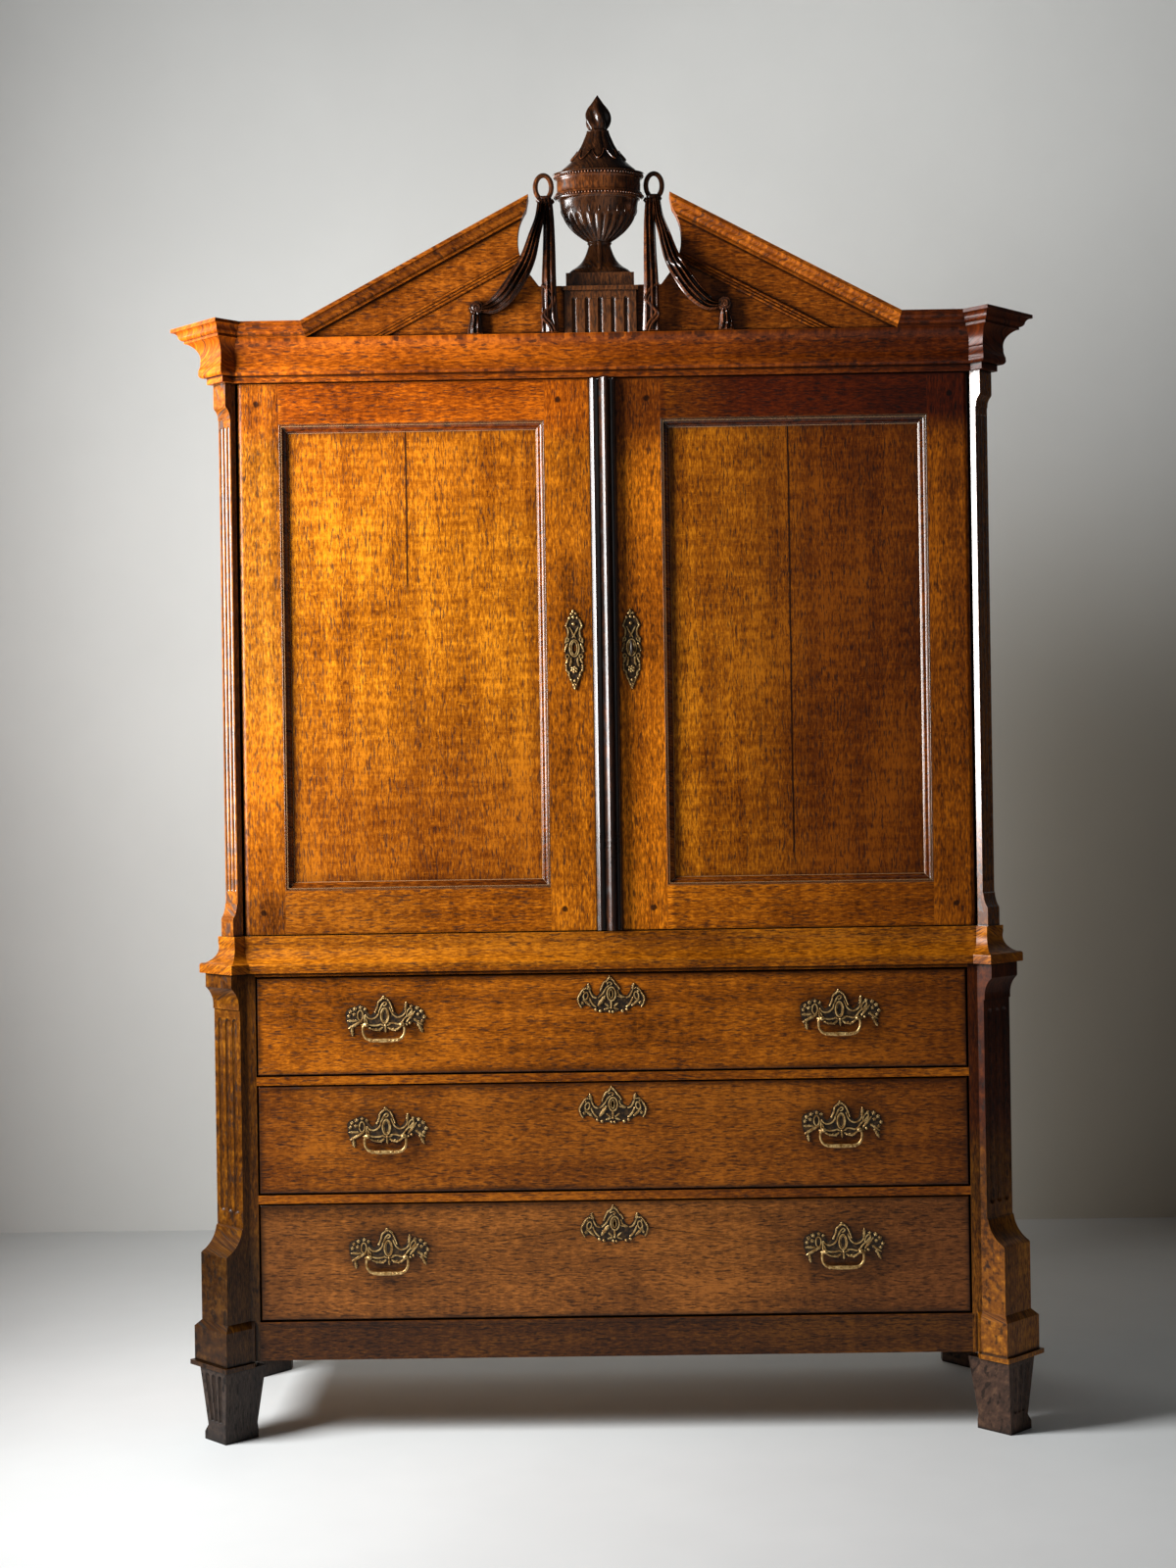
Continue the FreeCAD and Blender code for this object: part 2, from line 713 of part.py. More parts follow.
# ---------------------------------------------------------------- upper case
def pilaster():
    """Right front post of the cupboard, with a fluted diagonal pilaster on its corner."""
    inner = case_half_width - pilaster_cut
    stop_inner = inner - stop_width
    core = prism([
        (inner, 0), (case_half_width, -pilaster_cut), (case_half_width, shelf_front),
        (stop_inner, shelf_front), (stop_inner, stop_front), (inner, stop_front),
    ], upper_z, upper_top_z)
    core = core.cut([
        block(stop_inner - 1, inner, shelf_front - 1, 1, upper_z - 1, cupboard_floor_z),
        block(inner - 1, case_half_width, -waist_clearance, 1, upper_z - 1, cupboard_floor_z),
    ])
    shaft = pilaster_stand * ROOT2
    wide = pilaster_block_stand * ROOT2
    base_z = cupboard_floor_z
    cap_z = upper_top_z - pilaster_cap
    small = quirk / 2
    base_end = base_z + pilaster_base
    profile = [
        (-1, base_z), (wide, base_z), (wide, base_end - 2 * quirk), (wide - quirk, base_end, 0.2),
        (shaft + small, base_end + pilaster_base_cove - small, -0.12),
        (shaft, base_end + pilaster_base_cove), (shaft, cap_z - pilaster_cap_cove),
        (shaft + small, cap_z - pilaster_cap_cove), (wide - small, cap_z - quirk, -0.25), (wide, cap_z),
        (wide, upper_top_z), (-1, upper_top_z),
    ]
    corner = (case_half_width, 0, pilaster_cut)
    turned = diagonal_block(*corner, profile)
    flutes = face_flutes(*corner, pilaster_stand, pilaster_flutes, pilaster_flute_width,
                         pilaster_flute_pitch, pilaster_flute_depth,
                         base_z + pilaster_base + pilaster_base_cove + pilaster_flute_foot,
                         cap_z - pilaster_cap_cove - pilaster_flute_head)
    return cut(joined(core, [turned]), flutes)


def pivot_sinkings():
    """Plates let into the cupboard's floor and top board, at the right door's pivots."""
    length, width, thickness = pivot_plate
    plates = []
    for z0, z1 in ((cupboard_floor_z - thickness, cupboard_floor_z), (upper_top_z, upper_top_z + thickness)):
        outer = door_axis_x + pivot_inset
        plates.append(block(outer - length, outer, door_axis_v - width / 2, door_axis_v + width / 2, z0, z1))
    return plates


def upper_case():
    post = pilaster()
    export("pilaster_right", [post])
    export("pilaster_left", [mirrored(post)])
    side = case_side(case_half_width, shelf_front, upper_z, upper_top_z, upper_side_thickness)
    export("upper_side_right", side)
    export("upper_side_left", [mirrored(solid) for solid in side])
    export("upper_back", planks(-case_half_width, case_half_width, back_v, back_v + back_board,
                                upper_z, upper_top_z, back_planks))
    inside = case_half_width - upper_side_thickness
    back = back_v + back_board
    post_inner = case_half_width - pilaster_cut
    floor = prism([(-post_inner, -waist_clearance), (post_inner, -waist_clearance), (post_inner, shelf_front),
                   (inside, shelf_front), (inside, back), (-inside, back), (-inside, shelf_front),
                   (-post_inner, shelf_front)], cupboard_floor_z - upper_board, cupboard_floor_z)
    sinkings = pair(pivot_sinkings())
    sockets = bolt_sockets()
    export("cupboard_floor", [cut(floor, sinkings + sockets)])
    plan = case_path(cornice_half_width, cornice_front, cornice_cut, cornice_stand)
    top = prism(plan, upper_top_z, upper_top_z + upper_board)
    export("cupboard_top", [cut(top, sinkings + sockets)])
    export("shelves", shelves())
    export("pivot_pins", pair(pivots()))


def bolt_sockets():
    """Holes for the left door's slide bolts, in the floor and the top board."""
    width, thickness, _ = slide_bolt
    middle = -door_thickness - thickness / 2 - staple_wall / 2
    x0 = slide_bolt_x - width / 2 - 1
    span = (x0, x0 + width + 2, middle - thickness, middle + thickness)
    depth = slide_bolt_travel + 2
    return [block(*span, cupboard_floor_z - depth, cupboard_floor_z + 1),
            block(*span, upper_top_z - 1, upper_top_z + depth)]


def shelves():
    inside = case_half_width - upper_side_thickness
    back = back_v + back_board
    pitch = (upper_top_z - cupboard_floor_z + shelf_thickness) / (shelf_count + 1)
    solids = []
    for index in range(shelf_count):
        z = cupboard_floor_z + pitch * (index + 1) - shelf_thickness
        solids.append(block(-inside, inside, back, shelf_front, z, z + shelf_thickness))
        solids += pair([block(inside - bearer, inside, back, shelf_front, z - bearer, z)])
    return solids


def pivots():
    """Right door's pivot plates with their pins; the lower one carries the door on a collar."""
    solids = []
    plates = pivot_sinkings()
    axis = (door_axis_x, door_axis_v)
    low = cylinder(pivot_radius, world(axis, cupboard_floor_z), world(axis, door_z + pivot_length))
    rest = cylinder(pivot_collar, world(axis, cupboard_floor_z), world(axis, door_z - slip))
    solids.append(joined(plates[0], [low, rest]))
    high = cylinder(pivot_radius, world(axis, door_end_z - pivot_length), world(axis, upper_top_z))
    solids.append(joined(plates[1], [high]))
    return solids


# ---------------------------------------------------------------- doors
def panel_moulding(inner, panel_front):
    """Four mitred lengths of moulding round the panel, planted against the frame."""
    wide = moulding_width
    deep = -panel_front
    profile = [
        (0, -deep), (wide, -deep), (wide - 1.5, -deep + 1.5), (wide - 4.5, -deep + 4.5, 0.3),
        (wide - 7.0, -deep + 5.0), (5.5, -2.6, -0.3), (5.5, -1.2), (4.2, -1.2), (4.2, -2.6),
        (2.8, -2.6), (2.8, -1.2), (0, -1.2, 0.85),
    ]
    x0, x1, z0, z1 = inner
    corners = [(x0, z0), (x1, z0), (x1, z1), (x0, z1)]
    insets = [(1, 1), (-1, 1), (-1, -1), (1, -1)]
    solids = []
    for index in range(4):
        start = corners[index]
        end = corners[(index + 1) % 4]
        inward = V(-(end[1] - start[1]), 0, end[0] - start[0]).normalize()
        along = V(end[0] - start[0], 0, end[1] - start[1])
        face = placed(outline_face(profile), V(start[0], face_y, start[1]), inward, V(0, -1, 0))
        bar = face.extrude(along)
        near = insets[index]
        far = insets[(index + 1) % 4]
        depth = wide + 1
        window = elevation([start, end, (end[0] + far[0] * depth, end[1] + far[1] * depth),
                            (start[0] + near[0] * depth, start[1] + near[1] * depth)], -deep - 1, 1)
        solids.append(bar.common(window))
    return solids


def keyhole(x, z, v0, v1):
    """Cutter for a keyhole: a round hole with a slot under it."""
    slot_width, slot_length = keyhole_slot
    hole = cylinder(keyhole_radius, world((x, v0), z), world((x, v1), z))
    slot = block(x - slot_width / 2, x + slot_width / 2, v0, v1, z - slot_length, z)
    return hole.fuse(slot)


def ellipse(x, z, rx, rz, v0, v1):
    """Flat elliptical disc facing forward."""
    long_way = max(rx, rz)
    short_way = min(rx, rz)
    curve = Part.Ellipse(V(0, 0, 0), long_way, short_way)
    face = Part.Face(Part.Wire([curve.toShape()]))
    across = V(1, 0, 0) if rx >= rz else UP
    upward = UP if rx >= rz else V(-1, 0, 0)
    return placed(face, world((x, v0), z), across, upward).extrude(V(0, v0 - v1, 0))


def door_escutcheon(x):
    """Tall openwork plate: a keyhole oval between two smaller ones, on a ribbed spine."""
    half_width, half_height = door_plate_half
    z = door_z + door_plate_rise
    body = ellipse(x, z, half_width, half_height * 0.34, 0, plate_thickness)
    others = [
        ellipse(x, z + half_height * 0.62, half_width * 0.55, half_height * 0.38, 0, plate_thickness),
        ellipse(x, z - half_height * 0.62, half_width * 0.55, half_height * 0.38, 0, plate_thickness),
    ]
    return cut(joined(body, others), [keyhole(x, z, -1, plate_thickness + 1)])


def doors():
    frame = (right_door_edge, door_outer, door_z, door_end_z)
    stiles = (inner_stile_edge - right_door_edge, outer_stile)
    members, panel, inner, panel_front = framed_leaf(
        *frame, *stiles, top_rail, bottom_rail, door_thickness, round_right=True)
    moulding = panel_moulding(inner, panel_front)
    bores = [cylinder(pivot_radius + running, world((door_axis_x, door_axis_v), z0),
                      world((door_axis_x, door_axis_v), z1))
             for z0, z1 in ((door_z - 1, door_z + pivot_length + 1),
                            (door_end_z - pivot_length - 1, door_end_z + 1))]
    lock_tools = right_lock_cutters()
    right = [member.cut(bores + lock_tools) for member in members] + moulding
    export("right_door_frame", right)
    export("right_door_panel", [panel])
    export("right_door_escutcheon", [door_escutcheon(right_plate_x)])
    export("closing_strip", [closing_strip()])

    frame = (-door_outer, left_door_edge, door_z, door_end_z)
    stiles = (outer_stile, inner_stile_edge + left_door_edge)
    members, panel, inner, panel_front = framed_leaf(
        *frame, *stiles, top_rail, bottom_rail, door_thickness, round_left=True)
    moulding = panel_moulding(inner, panel_front)
    bores = [mirrored(bore) for bore in bores]
    strike = strike_mortise()
    left = [member.cut(bores + [strike]) for member in members] + moulding
    export("left_door_frame", left)
    export("left_door_panel", [panel])
    export("left_door_escutcheon", [door_escutcheon(left_plate_x)])
    slide_bolts()


def closing_strip():
    """Moulded strip on the right door's meeting stile, covering the joint between the doors."""
    half = strip_half_width
    thick = strip_thickness
    plan = [
        (-half, 0), (-half, 5), (-half + 5.5, 9.5, -0.5), (-half + 6.5, 9.5), (-half + 12, thick, -0.5),
        (-half + 13.5, thick - 1.5), (half - 13.5, thick - 1.5, 0.45), (half - 12, thick),
        (half - 6.5, 9.5, -0.5), (half - 5.5, 9.5), (half, 5, -0.5), (half, 0),
    ]
    return prism(plan, door_z, door_end_z)


def slide_bolts():
    """Two sliding bolts on the back of the left door, drawn back, and their staples."""
    width, thickness, length = slide_bolt
    back = -door_thickness
    x0 = slide_bolt_x - width / 2
    staples = []
    for name, tip, inward in (("left_door_bolt_top", door_end_z - 2, -1), ("left_door_bolt_bottom", door_z + 2, 1)):
        bar_v = back - staple_wall / 2 - thickness
        far = tip + inward * length
        bar = block(x0, x0 + width, bar_v, bar_v + thickness, min(tip, far), max(tip, far))
        knob_z = tip + inward * length * 0.62
        start = world((slide_bolt_x, bar_v), knob_z)
        knob = capsule(5.0, start, world((slide_bolt_x, bar_v - 12), knob_z))
        export(name, [joined(bar, [knob])])
        for share in (0.25, 0.88):
            z = tip + inward * length * share
            outer = block(x0 - slip - staple_wall, x0 + width + slip + staple_wall,
                          bar_v - slip - staple_wall, back, z - 7, z + 7)
            hole = block(x0 - slip, x0 + width + slip, bar_v - slip, bar_v + thickness + slip, z - 8, z + 8)
            staples.append(outer.cut(hole))
    export("left_door_staples", staples)


# ---------------------------------------------------------------- right door lock and key
def lock_box():
    """Limits of the lock case in the right door: x0, x1, v0, v1, z0, z1."""
    width, height, depth = lock_case
    z = door_z + door_plate_rise
    x1 = right_plate_x + width * 0.2
    return x1 - width, x1, -door_thickness, -door_thickness + depth, z - height / 2, z + height / 2


def bolt_limits(grow=0.0):
    """Section of the lock bolt: v0, v1, z0, z1."""
    thickness, height = lock_bolt[1], lock_bolt[0]
    z = door_z + door_plate_rise + key_bit[1] + slip + height / 2
    v = -door_thickness + lock_case[2] / 2
    return v - thickness / 2 - grow, v + thickness / 2 + grow, z - height / 2 - grow, z + height / 2 + grow


def right_lock_cutters():
    z = door_z + door_plate_rise
    pocket = block(*lock_box())
    passage = block(right_door_edge - 1, lock_box()[0] + 1, *bolt_limits(slip))
    return [pocket, passage, keyhole(right_plate_x, z, -door_thickness - 1, 1)]


def strike_mortise():
    return block(left_door_edge - lock_travel - 3, left_door_edge + 1, *bolt_limits(1.0))


def right_lock():
    """Lock case let into the back of the right door, its bolt and the key in it."""
    x0, x1, v0, v1, z0, z1 = lock_box()
    z = door_z + door_plate_rise
    wall = lock_wall
    shell = block(x0, x1, v0, v1, z0, z1).cut(block(x0 + wall, x1 - wall, v0 + wall, v1 - wall, z0 + wall, z1 - wall))
    exit_slot = block(x0 - 1, x0 + wall + 1, *bolt_limits(slip))
    hole = keyhole(right_plate_x, z, v1 - wall - 1, v1 + 1)
    socket = cylinder(key_shank + running, world((right_plate_x, v0 - 1), z), world((right_plate_x, v0 + wall + 1), z))
    export("right_door_lock", [shell.cut([exit_slot, hole, socket])])
    tail = x1 - wall - lock_travel - 4
    export("right_door_lock_bolt", [block(right_door_edge + 1.0, tail, *bolt_limits())])
    shank_end = world((right_plate_x, v0), z)
    bow_foot = world((right_plate_x, key_reach - key_bow), z)
    shank = cylinder(key_shank, shank_end, bow_foot)
    depth, reach, thick = key_bit
    bit_v = (v0 + v1) / 2
    bit = block(right_plate_x - thick / 2, right_plate_x + thick / 2, bit_v - depth / 2 + 1.5,
                bit_v + depth / 2 - 1.5, z - reach, z)
    collar = cylinder(key_shank + 2, world((right_plate_x, plate_thickness + 1), z),
                      world((right_plate_x, plate_thickness + 4), z))
    bow = Part.makeTorus(key_bow, key_bow_wire, world((right_plate_x, key_reach), z), V(1, 0, 0))
    export("key", [joined(shank, [bit, collar, bow])])


# ---------------------------------------------------------------- cornice and pediment
def band_profile(back, base_z, top_z):
    """Topmost moulding of the cornice, as (out, z) points between two levels."""
    return [
        (back, base_z), (cornice_ledge, base_z), (cornice_ledge + 2.5, base_z),
        (cornice_ledge + 2.5, base_z + 5), (cornice_out - 11, base_z + 12, 0.3),
        (cornice_out - 3, top_z - 7, -0.3), (cornice_out, top_z - 7), (cornice_out, top_z), (back, top_z),
    ]


def cove_profile():
    """Bead and cove of the cornice, above the neck and up to its ledge."""
    z = cornice_z
    return [
        (0, z + cornice_neck), (6, z + cornice_neck), (11.5, z + cornice_neck + 10, 0.41),
        (11.5, z + 28), (8.5, z + 44, -0.12), (cornice_ledge, ledge_z, -0.33), (0, ledge_z),
    ]


def cornice():
    corner = (cornice_half_width, cornice_front, cornice_cut, cornice_stand)
    path = case_path(*corner)
    middle = len(path) // 2 - 1
    full = cove_profile()[:-1] + band_profile(0, ledge_z, cornice_end_z)[2:]
    sides = run_moulding(full, path, 0, middle) + run_moulding(full, path, middle + 1)
    front = run_moulding(cove_profile(), path, middle, middle + 1)
    short = run_moulding(band_profile(0, ledge_z, cornice_end_z), path, middle, middle + 1)[0]
    outside = elevation([(pediment_foot, cornice_end_z), (pediment_foot - mitre_shift(), ledge_z),
                         (cornice_half_width, ledge_z), (cornice_half_width, cornice_end_z)],
                        -1, cornice_front + cornice_out + 1)
    export("cornice", sides + front + pair([short.common(outside)]))
    frame_z = upper_top_z + upper_board
    core_plan = corner_plan(*corner) + [(corner[0], cornice_front - 2 * cornice_cut),
                                        (corner[0] - 2 * cornice_cut, cornice_front - 2 * cornice_cut),
                                        (corner[0] - 2 * cornice_cut, cornice_front)]
    core = prism(core_plan, frame_z, cornice_end_z)
    inner = corner[0] - 2 * cornice_cut
    front_board = block(-inner, inner, cornice_front - frame_board, cornice_front, frame_z, ledge_z)
    side_board = block(corner[0] - frame_board, corner[0], back_v, cornice_front - 2 * cornice_cut,
                       frame_z, cornice_end_z)
    back_rail = block(frame_board - corner[0], corner[0] - frame_board, back_v, back_v + frame_board,
                      frame_z, ledge_z)
    export("cornice_frame", [front_board, back_rail] + pair([core, side_board]))


def mitre_shift():
    """How far the pediment's mitre leans inwards over the height of the band."""
    return (cornice_end_z - ledge_z) * math.tan(math.radians(pediment_pitch / 2))


def raking_line(x, drop=0.0):
    """Height of the raking moulding's top edge at x, less a drop square to the slope."""
    pitch = math.radians(pediment_pitch)
    return cornice_end_z + (pediment_foot - x) * math.tan(pitch) - drop / math.cos(pitch)


def hollow_outline():
    """Inner end of the right half of the pediment, from the tip down to the bridge, as (x, z, bulge)."""
    tip_z = raking_line(pediment_tip)
    return [
        (pediment_tip, tip_z), (pediment_tip + 5, tip_z - 26), (tympanum_hollow, ledge_z + hollow_middle, -0.15),
        (hollow_bottom, ledge_z + hollow_start, -0.2), (hollow_bottom - hollow_step, bridge_z),
    ]


def pediment():
    foot = (pediment_foot - mitre_shift(), ledge_z)
    board_back = cornice_front + band_back - tympanum_thickness
    board_front = cornice_front + band_back
    cap_z = ledge_z + pedestal_top
    outline = [foot, (pediment_foot, cornice_end_z)] + hollow_outline() + [
        (pedestal_cap_half, bridge_z), (pedestal_cap_half, cap_z), (pedestal_half, cap_z), (pedestal_half, ledge_z)]
    board = elevation(outline, board_back, board_front)
    bearer = block(-pedestal_half, pedestal_half, urn_v - pedestal_half + 12, cornice_front - frame_board,
                   upper_top_z + upper_board, ledge_z)
    export("pediment_boards", pair([board, brace_block(board_back)]) + [bearer])
    slope = math.radians(pediment_pitch)
    along = V(-math.cos(slope), 0, math.sin(slope))
    square = V(math.sin(slope), 0, math.cos(slope))
    height = cornice_end_z - ledge_z
    over = cornice_out               # length at each end that the cut takes off
    start = V(pediment_foot, face_y - cornice_front, cornice_end_z) - square * height - along * over
    length = (pediment_foot - pediment_tip) / math.cos(slope) + 2 * over
    tip_z = raking_line(pediment_tip)
    keep = elevation([foot, (pediment_foot, cornice_end_z), (pediment_foot, tip_z + over),
                      (pediment_tip, tip_z + over)] + hollow_outline()
                     + [(hollow_bottom - hollow_step, ledge_z)], 0, cornice_front + cornice_out + 1)
    rakes = []
    profiles = {
        "band": (band_profile(band_back, 0, height), 0),
        "reeds": (reed_profile(), -reed_drop),
    }
    for profile, shift in profiles.values():
        face = placed(outline_face(profile), start + square * shift, V(0, -1, 0), square)
        rakes.append(face.extrude(along * length).common(keep))
    export("raking_mouldings", pair(rakes))
    urn(board_front, [board] + rakes)


def brace_block(board_back):
    """Block glued behind the tympanum, on the cornice frame."""
    width, height, inset = pediment_brace
    inner = pediment_foot - inset
    return block(inner, inner + width, cornice_front - frame_board, board_back, ledge_z, ledge_z + height)


def reed_profile():
    """Three half-round reeds planted on the tympanum."""
    front = band_back + reed_bed
    reeds = [(front, 2 * reed_radius * (index + 1), 0.95) for index in range(reed_count)]
    return [(band_back, 0), (front, 0)] + reeds + [(band_back, 2 * reed_radius * reed_count)]


def urn(board_front, neighbours):
    top = ledge_z + pedestal_top
    front = board_front + (cornice_ledge - band_back)
    die = block(-pedestal_half, pedestal_half, front - pedestal_depth, front, ledge_z, top)
    radius = pedestal_flute_width / 2
    flutes = []
    for index in range(pedestal_flutes):
        x = (index - (pedestal_flutes - 1) / 2) * pedestal_flute_pitch
        low = world((x, front + radius * 0.3), ledge_z - radius - 1)
        high = world((x, front + radius * 0.3), top - 18)
        flutes.append(capsule(radius, low, high))
    cap_front = front + pedestal_cap_half - pedestal_half
    cap = block(-pedestal_cap_half, pedestal_cap_half, front - pedestal_depth, cap_front, top, top + pedestal_cap)
    export("urn_pedestal", [cut(die, flutes), cap])
    base_z = top + pedestal_cap
    middle_v = front - pedestal_depth / 2
    square = block(-plinth_half, plinth_half, middle_v - urn_plinth_depth / 2, middle_v + urn_plinth_depth / 2,
                   base_z, base_z + urn_plinth)
    body = revolved([
        (0, 0), (63, 0), (63, 8), (30, 41, -0.3), (22, 63, -0.08), (24, 71), (71, 119, 0.24),
        (78, 153, 0.1), (81, 154), (86, 156), (86, 167), (84, 170), (84, 192), (86, 195),
        (86, urn_height), (0, urn_height),
    ], middle_v, base_z + urn_plinth)
    lid_z = base_z + urn_plinth + urn_height
    lid = revolved([
        (0, 0), (76, 0), (74, 9), (52, 27, -0.08), (30, 56, -0.2), (20, 84, -0.08), (22, 86), (18, 89),
        (22, 112, 0.2), (18, 131, 0.12), (6, 153, -0.08), (0, lid_height),
    ], middle_v, lid_z)
    export("urn_body", [square, body] + pair([ring_handle(middle_v).cut(body)]))
    export("urn_lid", [lid])
    cloth = drapery(middle_v, front).cut(neighbours)
    export("drapery_right", [cloth])
    export("drapery_left", [mirrored(cloth)])


def revolved(points, v, z):
    """Solid turned about a vertical axis from (radius, height, bulge) points, then made oval in plan."""
    face = placed(outline_face(points), world((0, v), z), V(1, 0, 0), UP)
    axis = world((0, v), z)
    squeeze = FreeCAD.Matrix()
    squeeze.A22 = urn_squeeze
    squeeze.A24 = axis.y * (1 - urn_squeeze)
    return face.revolve(axis, UP, 360).transformGeometry(squeeze)


def ring_handle(middle_v):
    """Oval ring beside the urn and the boss that holds it."""
    half_x, half_z = ring_out
    z = ledge_z + ring_rise
    curve = Part.Wire([Part.Ellipse(V(0, 0, 0), half_z, half_x).toShape()])
    path = placed(curve, world((ring_reach, middle_v), z), UP, V(1, 0, 0))
    section = Part.Wire([Part.makeCircle(ring_wire, world((ring_reach, middle_v), z + half_z), V(1, 0, 0))])
    pipe = path.makePipe(section)
    ring = pipe if pipe.ShapeType == "Solid" else Part.Solid(Part.Shell(pipe.Faces))
    boss = cylinder(5.0, world((82, middle_v), z), world((ring_reach - half_x, middle_v), z))
    return joined(ring, [boss])


def drape_section(x, v, z, rx, rv, direction):
    """Elliptical section of a hanging cloth, square to its direction."""
    curve = Part.Wire([Part.Ellipse(V(0, 0, 0), max(rx, rv), min(rx, rv)).toShape()])
    forward = V(0, -1, 0)
    across = direction.cross(forward).normalize()
    if rx >= rv:
        return placed(curve, world((x, v), z), across, direction.cross(across).normalize())
    return placed(curve, world((x, v), z), direction.cross(across).normalize(), across)


def drapery(middle_v, front):
    """Swag from the ring to a knob on the pediment, a tail under the knob and a straight fall."""
    ring_z = ledge_z + ring_rise - ring_out[1] - ring_wire
    down = V(0, 0, -1)
    fall = Part.makeLoft([
        drape_section(ring_reach - 6, middle_v, ring_z, 8, 6, down),
        drape_section(ring_reach - 11, front - 20, ledge_z + 190, 12, 7, down),
        drape_section(ring_reach - 11, front + 6, ledge_z + 100, 14, 8, down),
        drape_section(ring_reach - 11, front - 2, ledge_z, 17, 8, down),
    ], True)
    knob_z = ledge_z + knob_rise
    board = cornice_front + band_back
    swag = Part.makeLoft([
        drape_section(ring_reach + 4, middle_v + 4, ring_z - 4, 8, 6, V(0.15, 0, -1)),
        drape_section(ring_reach + 24, front - 10, ledge_z + 175, 12, 8, V(0.3, 0, -1)),
        drape_section(ring_reach + 63, front + 10, ledge_z + 92, 19, 9, V(0.75, 0, -1)),
        drape_section(knob_x - 40, front + 10, ledge_z + 50, 17, 8, V(1, 0, -0.35)),
        drape_section(knob_x - 12, board + 10, knob_z - 2, 8, 6, V(1, 0, 0.1)),
    ], True)
    knob = cylinder(knob_radius, world((knob_x, board), knob_z), world((knob_x, board + 16), knob_z))
    tail = Part.makeLoft([
        drape_section(knob_x, board + 8, knob_z - knob_radius + 2, 9, 6, down),
        drape_section(knob_x, board + 9, ledge_z, 13, 7, down),
    ], True, True)
    return joined(fall, [swag, knob, tail])


# ---------------------------------------------------------------- drawers
def drawer(name, rank):
    low, high = drawer_levels[name]
    back_face = base_front - drawer_front_thickness
    front = block(-drawer_half, drawer_half, back_face, base_front, low, high)
    edges = [edge for edge in front.Edges
             if abs(edge.BoundBox.YMin - (face_y - base_front)) < 1e-6
             and abs(edge.BoundBox.YMax - (face_y - base_front)) < 1e-6]
    front = front.makeFillet(drawer_edge_round, edges)
    lock_width, lock_height, lock_depth = drawer_lock
    pocket = block(-lock_width / 2, lock_width / 2, back_face - 1, back_face + lock_depth, high - lock_height, high + 1)
    key_z = high - drawer_plate_drop[rank]
    cutters = [pocket, keyhole(0, key_z, back_face - 1, base_front + 1)]
    plate_z = high - handle_drop[rank]
    post_z = plate_z - post_drop
    for centre in (-handle_x, handle_x):
        for side in (-post_half_span, post_half_span):
            x = centre + side
            cutters.append(cylinder(post_radius, world((x, back_face - 1), post_z), world((x, base_front + 1), post_z)))
    export(name + "_drawer_front", [cut(front, cutters)])
    side_low = low - drawer_gap + slip
    side_high = high - drawer_side_drop
    tail = base_front - drawer_length
    floor_z = side_low + drawer_bottom_rise
    side = block(drawer_half - drawer_side, drawer_half, tail, back_face, side_low, side_high)
    side = side.cut(block(0, drawer_half - drawer_side / 2, tail - 1, back_face + 1, floor_z, floor_z + drawer_bottom))
    inner = drawer_half - drawer_side
    back = block(-inner, inner, tail, tail + drawer_back, floor_z + drawer_bottom, side_high)
    floor = block(-inner - drawer_side / 2, inner + drawer_side / 2, tail, back_face, floor_z, floor_z + drawer_bottom)
    export(name + "_drawer_box", pair([side]) + [back, floor])
    drawer_brasses(name, rank, high, back_face)


def drawer_brasses(name, rank, high, back_face):
    """Handle plates with their posts and nuts, the keyhole plate, the lock and its bolt."""
    plate_z = high - handle_drop[rank]
    post_z = plate_z - post_drop
    solids = []
    for centre in (-handle_x, handle_x):
        solids.append(handle_plate(centre, plate_z))
        for side in (-post_half_span, post_half_span):
            x = centre + side
            stem = cylinder(post_radius, world((x, back_face), post_z), world((x, base_front), post_z))
            shank = cylinder(post_radius, world((x, base_front), post_z),
                             world((x, base_front + post_out + 4), post_z))
            nut = block(x - 6, x + 6, back_face - 4, back_face, post_z - 6, post_z + 6)
            solids.append(joined(stem, [shank, nut, bail_pin(x, post_z, side)]))
        for tag, sign in (("left", -1), ("right", 1)):
            if sign * centre > 0:
                export(name + "_drawer_bail_" + tag, [bail(centre, post_z)])
    key_z = high - drawer_plate_drop[rank]
    solids.append(drawer_keyplate(key_z))
    width, height, depth = drawer_lock
    z1 = high - 1
    body = block(-width / 2, width / 2, back_face, back_face + depth, high - height, z1)
    slot_half = bolt_section[0] / 2 + slip
    slot_v = (back_face + depth / 2 - bolt_section[1] / 2 - slip, back_face + depth / 2 + bolt_section[1] / 2 + slip)
    body = body.cut([block(-slot_half, slot_half, *slot_v, high - 28, high + 1),
                     keyhole(0, key_z, back_face - 1, back_face + depth + 1)])
    export(name + "_drawer_brasses", solids + [body])
    bolt_v = (slot_v[0] + slip, slot_v[1] - slip)
    export(name + "_drawer_lock_bolt", [block(-bolt_section[0] / 2, bolt_section[0] / 2, *bolt_v, high - 26, high - 1.2)])


def bail_pin(x, z, side):
    """Short pin on the outer side of a post, on which the bail's eye hangs."""
    out = 1 if side > 0 else -1
    v = base_front + post_out
    return cylinder(pin_radius, world((x, v), z), world((x + out * (bail_offset + bail_eye_thickness), v), z))


